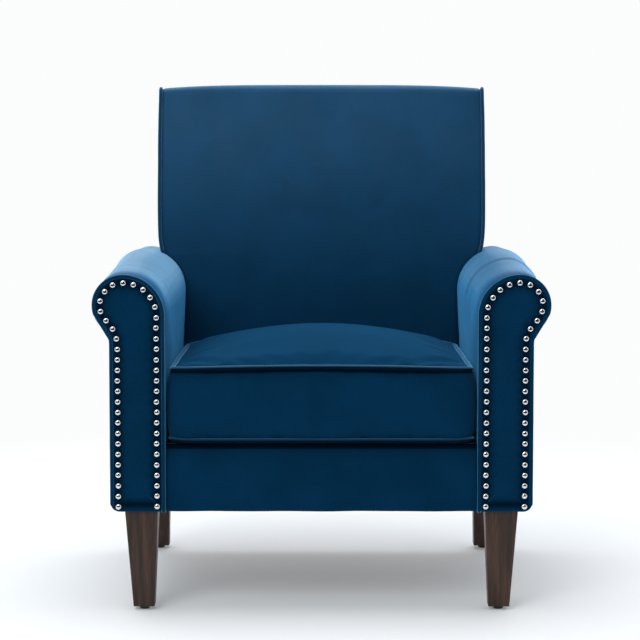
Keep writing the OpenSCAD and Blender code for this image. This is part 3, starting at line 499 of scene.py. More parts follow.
def painted_shade_velvet():
    """A dark, dull copy of the velvet: painted shade in the seams, under the cushion's cords and on the
    apron's top under the cushion.
    """
    return get_material(woven_velvet, "velvet_creased",
                        shade=0.35, sheen=0.06, gloss=0.0, skim=0.7, bloom=0.0)


def vary_pile(piece, painted_sheen, shade=1.0):
    """Gives each face of a velvet piece the level of painted sheen that painted_sheen() tells for its centre.
    """
    piece.data.materials.clear()
    for level in range(SHEEN_LEVELS + 1):
        piece.data.materials.append(velvet(level / SHEEN_LEVELS, shade))
    for face in piece.data.polygons:
        face.material_index = round(clamp01(painted_sheen(face.center)) * SHEEN_LEVELS)


def change_pile(piece, pile, inside):
    """Gives the faces of a velvet piece for which inside() is true another pile."""
    piece.data.materials.append(pile)
    last = len(piece.data.materials) - 1
    for face in piece.data.polygons:
        if inside(face):
            face.material_index = last


# ---------- arms ----------

def arc(cx, cz, radius, start, end, pitch, inward=False):
    """Points of an arc with the normals that look out of the arm, without the last point."""
    sign = -1 if inward else 1
    angles = [radians(a) for a in steps(start, end, degrees(pitch / radius))][:-1]
    return [(cx + radius * cos(a), cz + radius * sin(a), sign * cos(a), sign * sin(a))
            for a in angles]


def line(x0, z0, x1, z1, nx, nz, pitch):
    """Points of a straight side of the arm, without the last point."""
    count = max(1, round(hypot(x1 - x0, z1 - z0) / pitch))
    return [(x0 + (x1 - x0) * i / count, z0 + (z1 - z0) * i / count, nx, nz) for i in range(count)]


def arm_outline(pitch):
    """The right-hand arm seen from the front, as (x, z, normal x, normal z).

    It runs from the inner bottom corner along the bottom, up the outside, over the roll and down.
    """
    a = settings().arms
    out = chair.roll_out - a.scroll_out
    cx, cz = chair.roll_out - a.scroll_radius, chair.arm_top - a.scroll_radius
    neck_x = out + a.neck_radius
    neck_z = cz - sqrt((a.scroll_radius + a.neck_radius) ** 2 - (neck_x - cx) ** 2)
    turn = degrees(atan2(neck_z - cz, neck_x - cx))
    corner = a.corner_radius
    shoulder_z = chair.arm_top - a.shoulder_radius
    return (
        line(chair.arm_in, chair.foot, out - corner, chair.foot, 0, -1, pitch)
        + arc(out - corner, chair.foot + corner, corner, -90, 0, pitch)
        + line(out, chair.foot + corner, out, neck_z, 1, 0, pitch)
        + arc(neck_x, neck_z, a.neck_radius, 180, 180 + turn, pitch, inward=True)
        + arc(cx, cz, a.scroll_radius, turn, 90, pitch)
        + arc(cx, shoulder_z, a.shoulder_radius, 90, 180, pitch)
        + line(chair.arm_in, shoulder_z, chair.arm_in, chair.foot, -1, 0, pitch)
    )


def inset_outline(outline, depth):
    return [(x - depth * nx, z - depth * nz) for x, z, nx, nz in outline]


# Soft folds round each roll: distance behind the arm front, depth, lift of the cover behind it
ROLL_FOLDS = {
    "left": [(88 * MM, 0.9 * MM, 0.5 * MM), (170 * MM, 0.5 * MM, 0.0)],
    "right": [(266 * MM, 0.9 * MM, 2.6 * MM), (120 * MM, 0.6 * MM, 0.3 * MM)],
}


def roll_relief(side_name, behind, share, run, nx, nz, z):
    """How far the padded sleeve stands out of the arm's outline at a point."""
    a = settings().arms
    height = clamp01((z - a.swell_from) / (a.swell_full - a.swell_from))
    # the inner side is less full
    width = 1 + 0.4 * nx if nx < 0 else 1
    if share < a.swell_peak:
        along = sin(pi / 2 * share / a.swell_peak) ** 3
    else:
        along = 1 - (1 - a.rear_swell) * ease((share - a.swell_peak) / (1 - a.swell_peak))
    # the outer shoulder is tight at the front and fullest where the arm meets the back
    outer = ease(nx + 0.1)
    late = 0.95 * min(1, share / 0.8) ** 2 * (1 - 0.7 * ease((share - 0.84) / 0.16))
    along += (late - along) * outer
    seed = 3 if side_name == "left" else 8
    swell = chair.roll_swell * along * height * width
    # the welt draws the front in
    swell -= 2.2 * MM * exp(-max(0, behind - 6 * MM) / (13 * MM)) * (0.35 + 0.65 * height)
    if side_name == "right":
        # the roll lies a little lower ahead of its large fold
        swell -= 1.2 * MM * height * ease((250 * MM - behind) / (60 * MM)) * ease(behind / (60 * MM))
    # the velvet lies looser on the roll than on the sides
    loose = 0.15 + 0.85 * height
    swell += 0.7 * MM * loose * uneven(seed, behind / (120 * MM), run / (70 * MM))
    swell += 0.1 * MM * uneven(seed + 1, behind / (30 * MM), run / (120 * MM))
    on_roll = ease((nz + 0.25) / 0.8) * height
    for place, depth, lift in ROLL_FOLDS[side_name]:
        past = behind - place - 10 * MM * uneven(seed + 2, run / (60 * MM))
        swell -= depth * on_roll * bell(past, 5 * MM)
        if past > 0:
            swell += lift * on_roll * ease(past / (12 * MM)) * exp(-past / (170 * MM))
    return max(-0.6 * MM, min(swell, chair.roll_swell + 3 * MM))


def build_sleeve(side_name, side):
    """The velvet that wraps an arm's roll, sides and underside, over its padding."""
    a = settings().arms
    pitch = 4.5 * MM
    lip = chair.welt_r
    start = chair.face + lip
    quarter = [radians(d) for d in (0, 25, 50, 75)]
    # share of the arm's length, place forward of that, and inset, with both ends turned in
    stations = [(0.0, lip * (1 - cos(q)), lip * (1 - sin(q))) for q in quarter]
    stations += [(t, lip * (1 - t), 0.0) for t in steps(0.0, 1.0, 0.0125)]
    stations += [(1.0, 0.0, lip * (1 - cos(q))) for q in quarter[1:]]

    def place(station, at):
        (share, forward, inset), (i, (x, z, nx, nz)) = station, at
        rear = rear_plane(z) - chair.cloth - 0.6 * MM
        y = start + forward + share * (rear - start - forward)
        e = inset - roll_relief(side_name, y - chair.face, share, i * pitch, nx, nz, z)
        return side * (x - e * nx), y, z - e * nz

    rows = rows_of(stations, list(enumerate(arm_outline(pitch))), place)
    sleeve = make_sheet("arm_sleeve_" + side_name, rows, velvet(), wrap=True)
    # painted sheen: dull just behind the arm's front and low on its inner side, which paints shade there, and
    # brightest on the roll's top, a painted highlight; on the right it brightens over a longer way and not
    # quite as far
    reach, most = (110 * MM, 1.0) if side_name == "left" else (140 * MM, 0.85)

    def painted_sheen(p):
        behind = p.y - chair.face + 14 * MM * uneven(side + 30, p.x / (40 * MM), p.z / (40 * MM))
        low = ease((chair.arm_top - 50 * MM - p.z) / (110 * MM)) * (side * p.x < chair.roll_out - 60 * MM)
        lift = (1 - 0.35 * ease((a.swell_full - p.z) / (150 * MM)) * low) * most
        lift *= 1 - 0.34 * ease((chair.arm_top - 12 * MM - p.z) / (70 * MM))
        return (0.04 + 0.96 * ease(behind / (reach + 150 * MM * low))) * lift

    vary_pile(sleeve, painted_sheen)
    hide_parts("arm_cover_" + side_name, "arm_padding_" + side_name)


def build_rear_cap(side_name, side):
    """The flat velvet cap on an arm's rear end, outside the outside back."""
    inner = chair.back_half + 0.3 * MM
    edge = [(x, z) for x, z in inset_outline(arm_outline(6 * MM), -3 * MM) if x > inner + 1 * MM]

    def place(share, at):
        x, z = at
        # the cap stands proud of its edge, which is turned in
        puff = -1.2 * MM * (1 - share ** 6) + 1.6 * MM * (share > 0.98)
        return side * (inner + (x - inner) * share), rear_plane(z) - 0.4 * MM + puff, z

    rows = rows_of((1.0, 0.97, 0.9, 0.7, 0.45, 0.2, 0.0), edge, place)
    cap = make_sheet("arm_rear_cap_cloth_" + side_name, rows, velvet(0.7), facing=(0, 1, 0))
    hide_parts("arm_rear_cap_" + side_name)


def nail_places():
    """Nail centres round the right-hand arm front, evenly along the row, as (x, z)."""
    a = settings().arms
    ends = chair.foot + 10 * MM
    outline = arm_outline(2 * MM)
    row = [p for p, q in zip(inset_outline(outline, a.nail_inset), outline) if q[3] > -0.5 and p[1] > ends]
    row = [(row[0][0], ends)] + row + [(row[-1][0], ends)]
    runs = [0.0]
    for p, q in zip(row, row[1:]):
        runs.append(runs[-1] + dist(p, q))
    places, k = [], 0
    for i in range(a.nail_count):
        run = runs[-1] * i / (a.nail_count - 1)
        while k < len(runs) - 2 and runs[k + 1] < run:
            k += 1
        f = (run - runs[k]) / (runs[k + 1] - runs[k])
        places.append(Vector(row[k]).lerp(Vector(row[k + 1]), f))
    return places


def hand_set(places, seed):
    """The same nails as set by hand: each a little off the line."""
    return [p + 0.7 * MM * Vector((uneven(seed, i * 3.7), uneven(seed + 1, i * 4.3)))
            for i, p in enumerate(places)]


def distance_to(points):
    """A function that tells how far (x, z) is from the nearest of the points."""
    tree = kdtree.KDTree(len(points))
    for i, p in enumerate(points):
        tree.insert((p[0], p[1], 0), i)
    tree.balance()
    return lambda x, z: tree.find((x, z, 0))[2]


def build_arm_front(side_name, side):
    """The padded velvet panel on an arm's front, drawn in by its welt and nails."""
    a = settings().arms
    outline = arm_outline(3 * MM)
    rim = inset_outline(outline, 3 * MM)
    middle_x = (chair.arm_in + chair.roll_out - a.scroll_out) / 2
    cx, cz = chair.roll_out - a.scroll_radius, chair.arm_top - a.scroll_radius
    spine = []
    for _, z in rim:
        lift = min(max(z, chair.foot + 45 * MM), cz)
        spine.append((middle_x + (cx - middle_x) * ease((lift - cz + 90 * MM) / (90 * MM)) ** 2, lift))
    from_edge, from_nail = distance_to(outline), distance_to(hand_set(nail_places(), side + 2))

    def place(share, ends):
        (x0, z0), (x1, z1) = ends
        x, z = x0 + (x1 - x0) * share, z0 + (z1 - z0) * share
        edge = from_edge(x, z)
        # the panel sinks behind the welt and stands out in its middle, and the nails draw it in
        y = chair.face + 0.6 * MM + 3.2 * MM * exp(-max(0, edge - 3 * MM) / (3 * MM))
        y -= 1.3 * MM * ease((edge - 12 * MM) / (24 * MM))
        y += a.dimple * bell(from_nail(x, z), 5.5 * MM) + 0.9 * MM * bell(edge - a.nail_inset, 5 * MM)
        y += 0.25 * MM * uneven(side, x / (30 * MM), z / (45 * MM))
        return side * x, y, z

    shares = (0, 0.03, 0.06, 0.1, 0.15, 0.2, 0.26, 0.32, 0.38, 0.44, 0.52, 0.62, 0.74, 0.87, 1)
    rows = rows_of(shares, list(zip(rim, spine)), place)
    front = make_sheet("arm_front_panel_" + side_name, rows, velvet(0.0), wrap=True,
                               facing=(0, -1, 0))

    # painted shade round each nail and along the nail row, where the velvet dips; the pile is crushed there
    # as well
    def crush_and_shade_at(vertex):
        x, z = side * vertex.co.x, vertex.co.z
        by_nail, in_row = bell(from_nail(x, z), 10 * MM), bell(from_edge(x, z) - a.nail_inset, 8 * MM)
        return max(0.98 * by_nail, 0.85 * in_row)

    mark_crush_and_shade(front, crush_and_shade_at)
    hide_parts("arm_front_" + side_name, "arm_front_pad_" + side_name)


def build_welt(side_name, side):
    """The welt between an arm's front panel and its sleeve."""
    outline = [q for q in arm_outline(4 * MM) if q[3] > -0.3]
    r = chair.welt_r
    path = [Vector((side * (x - r * nx), chair.face + r + 0.25 * MM * uneven(side + 4, i * 0.11), z - r * nz))
            for i, (x, z, nx, nz) in enumerate(outline)]
    path.append(Vector((side * (chair.arm_in + r), chair.face + r + 2 * MM, chair.foot + 1 * MM)))
    welt = make_cord("arm_welt_" + side_name, path, r, piping_velvet(), seed=side + 6)
    # the welt's side that faces forward gets the dullest velvet: painted shade
    change_pile(welt, velvet(0.0), lambda face: face.normal.y < -0.7)
    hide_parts("arm_piping_" + side_name)


class ARMCHAIR_OT_arms(bpy.types.Operator):
    """Covers both arms: sleeves, front panels, welts and rear caps"""

    bl_idname = "armchair.arms"
    bl_label = "Arm covers"

    def execute(self, context):
        for side_name, side in SIDES.items():
            build_sleeve(side_name, side)
            build_rear_cap(side_name, side)
            build_arm_front(side_name, side)
            build_welt(side_name, side)
        return {"FINISHED"}


def nail_profile():
    """A nail head's half section, as (radius, height), from its crown to its rolled rim."""
    a = settings().arms
    r, h = a.nail_diameter / 2, a.nail_dome
    section = ((0.22, 0.99), (0.42, 0.94), (0.6, 0.84), (0.76, 0.69), (0.9, 0.46), (0.985, 0.16))
    dome = [(r * out, 0.3 * MM + (h - 0.3 * MM) * up) for out, up in section]
    return [(0.02 * MM, h)] + dome + [(r, 0.1 * MM), (r - 0.4 * MM, -0.6 * MM)]


class ARMCHAIR_OT_nails(bpy.types.Operator):
    """Sets the chrome nails round both arm fronts, each a little out of true"""

    bl_idname = "armchair.nails"
    bl_label = "Nails"

    def execute(self, context):
        profile = nail_profile()
        around = 20
        most_tilt = 0.07
        chrome = get_material(plated_chrome, "chrome_polished")
        for side_name, side in SIDES.items():
            points, faces = [], []
            for i, place in enumerate(hand_set(nail_places(), side + 2)):
                tilt = (Matrix.Rotation(most_tilt * uneven(side + 9, i * 2.9), 3, "X")
                        @ Matrix.Rotation(most_tilt * uneven(side + 11, i * 3.3), 3, "Z"))
                seat = Vector((side * place.x, chair.face + 0.2 * MM, place.y))
                first = len(points)
                for r, h in profile:
                    points += [seat + tilt @ Vector((r * cos(q), -h, r * sin(q)))
                               for q in (tau * k / around for k in range(around))]
                faces += [tuple(first + v for v in f) for f in grid_faces(len(profile), around, wrap=True)]
            nails = make_piece("arm_nail_heads_" + side_name, points, faces, chrome)
            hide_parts("arm_nails_" + side_name)
        return {"FINISHED"}


# ---------- back ----------

def back_point(x, up, into):
    """A point of the back: up along its rake from the floor's level, into it from its front face."""
    s, c = sin(chair.rake), cos(chair.rake)
    return Vector((x, back_face(0) + up * s + into * c, up * c - into * s))


def up_to(z):
    """Distance up the rake at which the front face reaches height z."""
    return z / cos(chair.rake)


def roll_scribe():
    """Half widths and heights of the back where it is scribed to the arm rolls, from below."""
    a = settings().arms
    cx, cz = chair.roll_out - a.scroll_radius, chair.arm_top - a.shoulder_radius
    rows = []
    for angle in steps(180, 103, 5.5):
        q = radians(angle)
        r = a.shoulder_radius + a.rear_swell * chair.roll_swell * (1 + 0.4 * cos(q)) - 0.6 * MM
        rows.append((cx + r * cos(q), cz + r * sin(q)))
    return rows


def wing_scribe():
    """The part of the scribe that runs under the back's wings."""
    return [p for p in roll_scribe() if p[0] < chair.back_half - 8 * MM]


def back_levels():
    """(half width, height) of the back's front face, from the deck to the top."""
    seat_half, arm_z = roll_scribe()[0]
    low = [(seat_half, z) for z in steps(chair.deck_z - 20 * MM, arm_z, 9 * MM)][:-1]
    foot = wing_scribe()[-1][1] + 1 * MM
    top = chair.top - settings().back.top_roll * cos(chair.rake)
    high = [foot, foot + 3 * MM] + steps(foot + 8 * MM, top, 8 * MM)
    return low + wing_scribe() + [(chair.back_half - wing_tuck(z), z) for z in high]


def wing_tuck(z):
    """How far a wing of the back is drawn in at height z: most just over the arm's roll."""
    over_roll = 9.5 * MM * exp(-max(0, z - wing_scribe()[-1][1]) / (24 * MM))
    return over_roll + 1.2 * MM * ease((z - chair.top + 90 * MM) / (90 * MM))


def edge_shares(half):
    """Places across the back from -1 to 1, closer together at its edges."""
    fine = [0, 0.8, 1.8, 3, 4.5, 6.5, 9, 13, 18, 25]
    near = [1 - f * MM / half for f in fine]
    middle = steps(-near[-1], near[-1], 0.03)
    return [-n for n in near[:-1]] + middle + near[:-1][::-1]


def top_drop(share):
    return settings().back.corner_drop * abs(share) ** 4


def to_sides(share):
    """1 in the middle of the back, falling to 0 at its sides."""
    return cos(pi / 2 * abs(share))


def back_relief(share, x, z):
    """How far the padded front face stands out at a point."""
    seat_line = chair.deck_z + 120 * MM
    rise = clamp01((z - seat_line) / (chair.top - seat_line))
    crown = settings().back.crown * to_sides(share) * sin(pi * rise) ** 0.7
    loose = 0.9 * MM * uneven(21, x / (120 * MM), z / (90 * MM))
    loose += 0.35 * MM * uneven(23, x / (34 * MM), z / (48 * MM))
    return crown + loose * min(1, rise * 6) * to_sides(share) ** 0.5


def build_back_front():
    """The velvet over the back's front face and over its top to the outside back."""
    b = settings().back
    r = b.top_roll
    half = chair.back_half
    top_up = up_to(chair.top)
    shares = edge_shares(half)
    down, back = 0.5, 0.55  # parts of the sides' roll by which the top and the front give way

    def roll_back(share, half):
        inside = (1 - abs(share)) * half
        r = b.edge_roll
        return r - sqrt(r * r - (r - inside) ** 2) if inside < r else 0.0

    def on_front(level, share):
        x, z = share * level[0], level[1]
        up = up_to(z) - top_drop(share) * ease((z - chair.top + 200 * MM) / (200 * MM))
        return back_point(x, up, roll_back(share, level[0]) * back - back_relief(share, x, z))

    def on_edge(q, s):
        rolled = roll_back(s, half)
        return back_point(s * half, top_up - top_drop(s) - r + (r - rolled * down) * sin(q),
                          r - r * cos(q) + rolled * back * cos(q))

    def on_top(into, s):
        run = (into - r) / (chair.thick - r)
        puff = (1.6 * MM * to_sides(s) + 0.5 * MM * uneven(31, s * 5, into / (60 * MM))) * sin(pi * run)
        sunk = roll_back(s, half) * down + 3 * MM * ease((run - 0.95) / 0.05)
        return back_point(s * half, top_up - top_drop(s) + puff - sunk, into)

    rows = rows_of(back_levels(), shares, on_front)
    rows += rows_of([radians(d) for d in (18, 36, 54, 72, 90)], shares, on_edge)
    rows += rows_of(steps(r, chair.thick - 1 * MM, 8 * MM)[1:], shares, on_top)
    cover = make_sheet("back_front_velvet", rows, velvet(0.0), facing=(0, -1, 0))

    def rise(p):
        return ease((p.z - chair.deck_z - 90 * MM) / (430 * MM))

    # painted light: a lighter dye over the whole back and brighter sheen higher up, and painted shade towards
    # its foot
    vary_pile(cover, lambda p: 0.1 + rise(p) * (0.85 + 0.07 * uneven(25, p.x / (60 * MM), p.z / (80 * MM))),
              shade=1.6)
    mark_crush_and_shade(cover, lambda vertex: 0.35 * (1 - rise(vertex.co)))
    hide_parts("back_cover", "back_foam")


def build_back_side(side_name, side):
    """The velvet side panel of the back over an arm."""
    foot = roll_scribe()[-1][1] - 5 * MM
    top_up = up_to(chair.top) - settings().back.corner_drop - 4 * MM
    start, end = 4 * MM, chair.thick - 1 * MM

    def place(up, into):
        run = (into - start) / (end - start)
        puff = 2.2 * MM * sin(pi * run) ** 0.6
        puff += 0.5 * MM * uneven(41 + side, into / (40 * MM), up / (70 * MM))
        tuck = wing_tuck(up * cos(chair.rake)) * (1 - ease(run / 0.3))
        return back_point(side * (chair.back_half - 0.6 * MM - tuck + puff), up, into)

    rows = rows_of(steps(up_to(foot), top_up, 8 * MM), steps(start, end, 8 * MM), place)
    panel = make_sheet("back_side_velvet_" + side_name, rows, velvet(0.7), facing=(side, 0, 0))
    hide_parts("back_side_" + side_name)


def build_back_piping():
    """The piping down both front side edges of the back and over its top corners."""
    b = settings().back
    foot = roll_scribe()[-1][1] - 4 * MM
    top_up = up_to(chair.top) - b.corner_drop - 1 * MM
    bend = 7 * MM
    rise = [(up, 0.5 * MM) for up in steps(up_to(foot), top_up - bend, 6 * MM)]
    turn = [(top_up - bend + bend * sin(q), 0.5 * MM + bend * (1 - cos(q)))
            for q in (radians(d) for d in (20, 40, 60, 80))]
    over = [(top_up, into) for into in steps(bend + 1 * MM, chair.thick - 3 * MM, 6 * MM)]
    for side_name, side in SIDES.items():
        path = []
        for i, (up, into) in enumerate(rise + turn + over):
            x = chair.back_half + 2.4 * MM - wing_tuck(up * cos(chair.rake))
            path.append(back_point(side * (x + 0.3 * MM * uneven(51 + side, i * 0.13)), up, into))
        cord = make_cord("back_piping_" + side_name + "_velvet", path, b.cord_radius, piping_velvet(),
                         seed=side + 14)
        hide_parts("back_piping")


def build_outside_back():
    """The plain velvet panel over the whole rear, turned in and tacked at its edges."""
    half = chair.back_half

    def place(level, s):
        top = chair.rear_z - top_drop(s)
        z = chair.foot + level * (top - chair.foot)
        edge = min((1 - abs(s)) * half, z - chair.foot, top - z)
        turned = 1.4 * MM * exp(-edge / (1.5 * MM))
        slack = 0.4 * MM * uneven(61, s * 3, z / (110 * MM)) * ease(edge / (30 * MM))
        return s * half, rear_plane(z) - 0.5 * MM - turned + slack, z

    rows = rows_of(steps(0, 1, 0.0125), edge_shares(half), place)
    panel = make_sheet("outside_back_velvet", rows, velvet(0.7), facing=(0, 1, 0))
    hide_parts("outside_back")
    high = (chair.rear_z - chair.foot) / cos(chair.rake) + TURNED_IN


class ARMCHAIR_OT_back(bpy.types.Operator):
    """Covers the back: front, sides, piping and outside back"""

    bl_idname = "armchair.back"
    bl_label = "Back covers"

    def execute(self, context):
        build_back_front()
        for side_name, side in SIDES.items():
            build_back_side(side_name, side)
        build_back_piping()
        build_outside_back()
        return {"FINISHED"}


# ---------- seat cushion ----------

def crown_along(t):
    c = settings().cushion
    if t < 0.5:
        return c.crown_front + (c.crown_middle - c.crown_front) * sin(pi * t)
    return c.crown_middle - (c.crown_middle - c.crown_rear) * (2 * t - 1) ** 2


def crown_at(x, y):
    across = cos(pi / 2 * clamp01(abs(x) / chair.cushion_half))
    return across * crown_along(clamp01(y / chair.cushion_top_len))


def rounded(u, v, half_x, half_y, radius):
    """A square's point (u, v from -1 to 1) moved onto a rectangle with rounded corners."""
    def edge(a, b):
        x, y = a * half_x, b * half_y
        in_x = max(-half_x + radius, min(half_x - radius, x))
        in_y = max(-half_y + radius, min(half_y - radius, y))
        away = Vector((x - in_x, y - in_y))
        if away.length > radius:
            away *= radius / away.length
        return Vector((in_x + away.x, in_y + away.y))

    size = max(abs(u), abs(v))
    if size < 1e-6:
        return Vector((0.0, 0.0))
    rim = edge(u / size, v / size)
    square = Vector((u / size * half_x, v / size * half_y))
    return Vector((u * half_x, v * half_y)) + (rim - square) * size ** 8


def cushion_place(u, v, k):
    """A seam point's place on the cushion; k is 0 at the bottom seam and 1 at the top seam."""
    c = settings().cushion
    r = c.cord_radius
    half = chair.cushion_half - r + (1 - k) * 3 * MM
    length_y = chair.cushion_low_len + k * (chair.cushion_top_len - chair.cushion_low_len) - 2 * r
    p = rounded(u, v, half, length_y / 2, c.corner_radius)
    y = r + length_y / 2 + p.y
    # the lower seam lifts a little towards its corners
    low = r + 0.3 * MM + 1.5 * MM * (1 - k) * ease((abs(p.x) - half + 30 * MM) / (30 * MM))
    return Vector((p.x, y, low + k * (c.boxing + crown_at(p.x, y))))


def square_ring(count):
    """(u, v) round the edge of a square, anticlockwise from its front left corner."""
    side = [-1 + 2 * i / count for i in range(count)]
    return ([(s, -1) for s in side] + [(1, s) for s in side]
            + [(-s, 1) for s in side] + [(-1, -s) for s in side])


def between_arms(x):
    """X kept clear of both arms, so that the cushion can slide."""
    limit = chair.arm_in - 1.1 * MM
    return max(-limit, min(limit, x))


def cushion_cover_mesh(count, shares):
    """Points and faces of the closed cushion cover, and how firmly the seams hold each point.

    The shares are the heights of the boxing's rows between its two seams.
    """
    c = settings().cushion
    points, held, index = [], [], {}

    def add(key, p, hold):
        index[key] = len(points)
        points.append(on_deck(*p))
        held.append(hold)

    ring = square_ring(count)
    levels = len(shares) - 1
    for n, k in enumerate(shares):
        bow = c.bulge * sin(pi * k ** 1.15) ** 0.6 - c.seam_pull * (n in (0, levels))
        for i, (u, v) in enumerate(ring):
            p = cushion_place(u, v, k)
            rear = ease((v - 0.9) / 0.1)
            away = Vector((u if abs(u) == 1 else 0, v if abs(v) == 1 else 0, 0))
            if away.length:
                away.normalize()
            p += away * bow * (1 - rear)
            p.x = between_arms(p.x)
            add(("box", n, i), p, 1.0 if n in (0, levels) or rear > 0.5 else 0.0)
    where = {}
    for i, (u, v) in enumerate(ring):
        where[round((u + 1) / 2 * count), round((v + 1) / 2 * count)] = i
    for top in (True, False):
        for a in range(1, count):
            for b in range(1, count):
                u, v = -1 + 2 * a / count, -1 + 2 * b / count
                p = cushion_place(u, v, 1.0 if top else 0.0)
                edge = min(1 - abs(u), 1 - abs(v)) * chair.cushion_half
                if top:
                    p.z += 3.5 * MM * (1 - exp(-edge / (9 * MM)))
                    p.z += 0.7 * MM * uneven(71, p.x / (90 * MM), p.y / (90 * MM)) * ease(edge / (40 * MM))
                else:
                    p.z -= 3.4 * MM * (1 - exp(-edge / (9 * MM)))
                add(("top" if top else "low", a, b), p, 0.0 if top else 1.0)

    def panel(name, a, b, level):
        if 0 < a < count and 0 < b < count:
            return index[name, a, b]
        return index["box", level, where[a, b]]

    around = len(ring)
    faces = [(index["box", n, i], index["box", n, (i + 1) % around],
              index["box", n + 1, (i + 1) % around], index["box", n + 1, i])
             for n in range(levels) for i in range(around)]
    for name, level in (("top", levels), ("low", 0)):
        faces += [tuple(panel(name, a + da, b + db, level) for da, db in ((0, 0), (1, 0), (1, 1), (0, 1)))
                  for a in range(count) for b in range(count)]
    return points, faces, held


def fill_cover(piece, held, pressure, limit, frames=20):
    """Fills a closed cover with air by cloth simulation, holding its seams, and keeps the result."""
    seams = piece.vertex_groups.new(name="seams")
    for i, hold in enumerate(held):
        if hold:
            seams.add([i], hold, "REPLACE")
    cloth = piece.modifiers.new("Cloth", "CLOTH")
    cloth.settings.quality = 6
    cloth.settings.vertex_group_mass = "seams"
    cloth.settings.use_pressure = True
    cloth.settings.uniform_pressure_force = pressure
    cloth.settings.tension_stiffness = cloth.settings.compression_stiffness = 30
    cloth.settings.bending_stiffness = 4
    cloth.settings.shrink_min = -0.012
    cloth.settings.effector_weights.gravity = 0
    cloth.collision_settings.use_collision = False
    scene = bpy.context.scene
    for number in range(1, frames + 1):
        scene.frame_set(number)
    solved = piece.evaluated_get(bpy.context.evaluated_depsgraph_get())
    moved = [v.co.copy() for v in solved.data.vertices]
    piece.modifiers.remove(cloth)
    for vertex, place in zip(piece.data.vertices, moved):
        way = place - vertex.co
        if way.length > limit:
            way *= limit / way.length
        vertex.co += way
    piece.vertex_groups.clear()
    scene.frame_set(1)


COVER_SQUARES = 60  # squares along each side of the cushion's cover
BOXING_ROWS = (0, 0.025, 0.06, 0.11, 0.18, 0.28, 0.4, 0.53, 0.66, 0.77, 0.85, 0.9, 0.94, 0.975, 1)
SEAM_SHADE_ROWS = (0, 12, 13)  # rows of squares beside the seams, which get painted shade


class ARMCHAIR_OT_seat_cushion(bpy.types.Operator):
    """Sews and fills the loose seat cushion and pipes its edges"""

    bl_idname = "armchair.seat_cushion"
    bl_label = "Seat cushion"

    def execute(self, context):
        c = settings().cushion
        points, faces, held = cushion_cover_mesh(COVER_SQUARES, BOXING_ROWS)
        # the dullest velvet: painted shade on the seat, which lies under the back
        cover = make_piece("seat_cushion_cover", points, faces, velvet(0.0), "cushion")
        if len(cover.data.vertices) != len(points):
            raise RuntimeError("the cushion cover's points were merged")
        fill_cover(cover, held, c.pressure, c.swell_limit)
        for vertex in cover.data.vertices:
            vertex.co.x = between_arms(vertex.co.x)
        around = 4 * COVER_SQUARES
        boxed = around * (len(BOXING_ROWS) - 1)
        # painted shade: the boxing's rows beside each seam are made dark and dull
        change_pile(cover, painted_shade_velvet(),
                    lambda face: face.index < boxed and face.index // around in SEAM_SHADE_ROWS)

        # painted shade that darkens the boxing towards both its seams
        def crush_and_shade_at(vertex):
            row = vertex.index // around
            if row >= len(BOXING_ROWS):
                return 0.0
            k = BOXING_ROWS[row]
            return max(exp(-(1 - k) * c.boxing / (8 * MM)), 0.8 * exp(-k * c.boxing / (4 * MM)))

        mark_crush_and_shade(cover, crush_and_shade_at)
        rounding = cover.modifiers.new("Subdivision", "SUBSURF")
        rounding.levels = rounding.render_levels = 1
        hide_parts("cushion_core", "cushion_top", "cushion_bottom", "cushion_boxing")
        middle = on_deck(0, chair.cushion_top_len / 2, 0)
        for k, node in ((1, "cushion_piping_top"), (0, "cushion_piping_bottom")):
            path = [on_deck(*cushion_place(u, v, k)) for u, v in square_ring(90)]
            cord = make_cord(node + "_velvet", path, c.cord_radius, piping_velvet(), "cushion", True, k + 20)
            # painted shade on the lower, outer side of each cord
            change_pile(cord, painted_shade_velvet(), lambda face: face.normal.z < 0.3
                        and (face.center - middle).xy.dot(face.normal.xy) > 0)
            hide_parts(node)
        return {"FINISHED"}


# ---------- seat box covers ----------

def build_apron():
    """The velvet over the front rail, turned over it to run on a little under the cushion."""
    half = chair.apron_half - 0.4 * MM
    columns = steps(-half, half, 7 * MM)
    roll = 4 * MM
    face = chair.apron + 0.3 * MM

    def hang(x):
        return 1.1 * MM * uneven(83, x / (75 * MM))

    # the lip under the cushion, the face, and the hem that turns in under the rail
    def on_lip(back, x):
        return x, chair.apron + back, chair.deck_z - 0.2 * MM - back * tan(chair.fall)

    def on_face(z, x):
        drop = clamp01((chair.deck_z - z) / (chair.deck_z - chair.foot))
        y = face - 1.6 * MM * sin(pi * drop) ** 0.7 - 0.5 * MM * uneven(81, x / (70 * MM), z / (60 * MM))
        return x, y + 6 * MM * exp((z - chair.deck_z) / (8 * MM)), z + hang(x) * drop ** 3

    def on_hem(q, x):
        return x, face + roll * (1 - cos(q)), chair.foot + roll * (1 - sin(q)) + hang(x)

    heights = [chair.deck_z - h * MM for h in (0.8, 3, 6, 10, 15)]
    heights += steps(heights[-1] - 7 * MM, chair.foot + roll, 7 * MM)
    rows = rows_of((44 * MM, 30 * MM, 16 * MM, 8 * MM), columns, on_lip)
    rows += rows_of(heights, columns, on_face)
    rows += rows_of([radians(d) for d in (30, 60, 90)], columns, on_hem)
    rows.append([(x, chair.apron + 22 * MM, chair.foot + 2.5 * MM) for x in columns])
    apron = make_sheet("apron_velvet", rows, velvet(0.0), facing=(0, -1, 0))
    # painted shadow under the cushion: the apron darkens towards its top, and its top 9 mm and lip are dark
    # and dull
    mark_crush_and_shade(apron, lambda vertex: 0.9 * exp((vertex.co.z - chair.deck_z) / (11 * MM)))
    change_pile(apron, painted_shade_velvet(), lambda face: face.center.z > chair.deck_z - 9 * MM)
    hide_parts("apron_cover", "apron_pad")


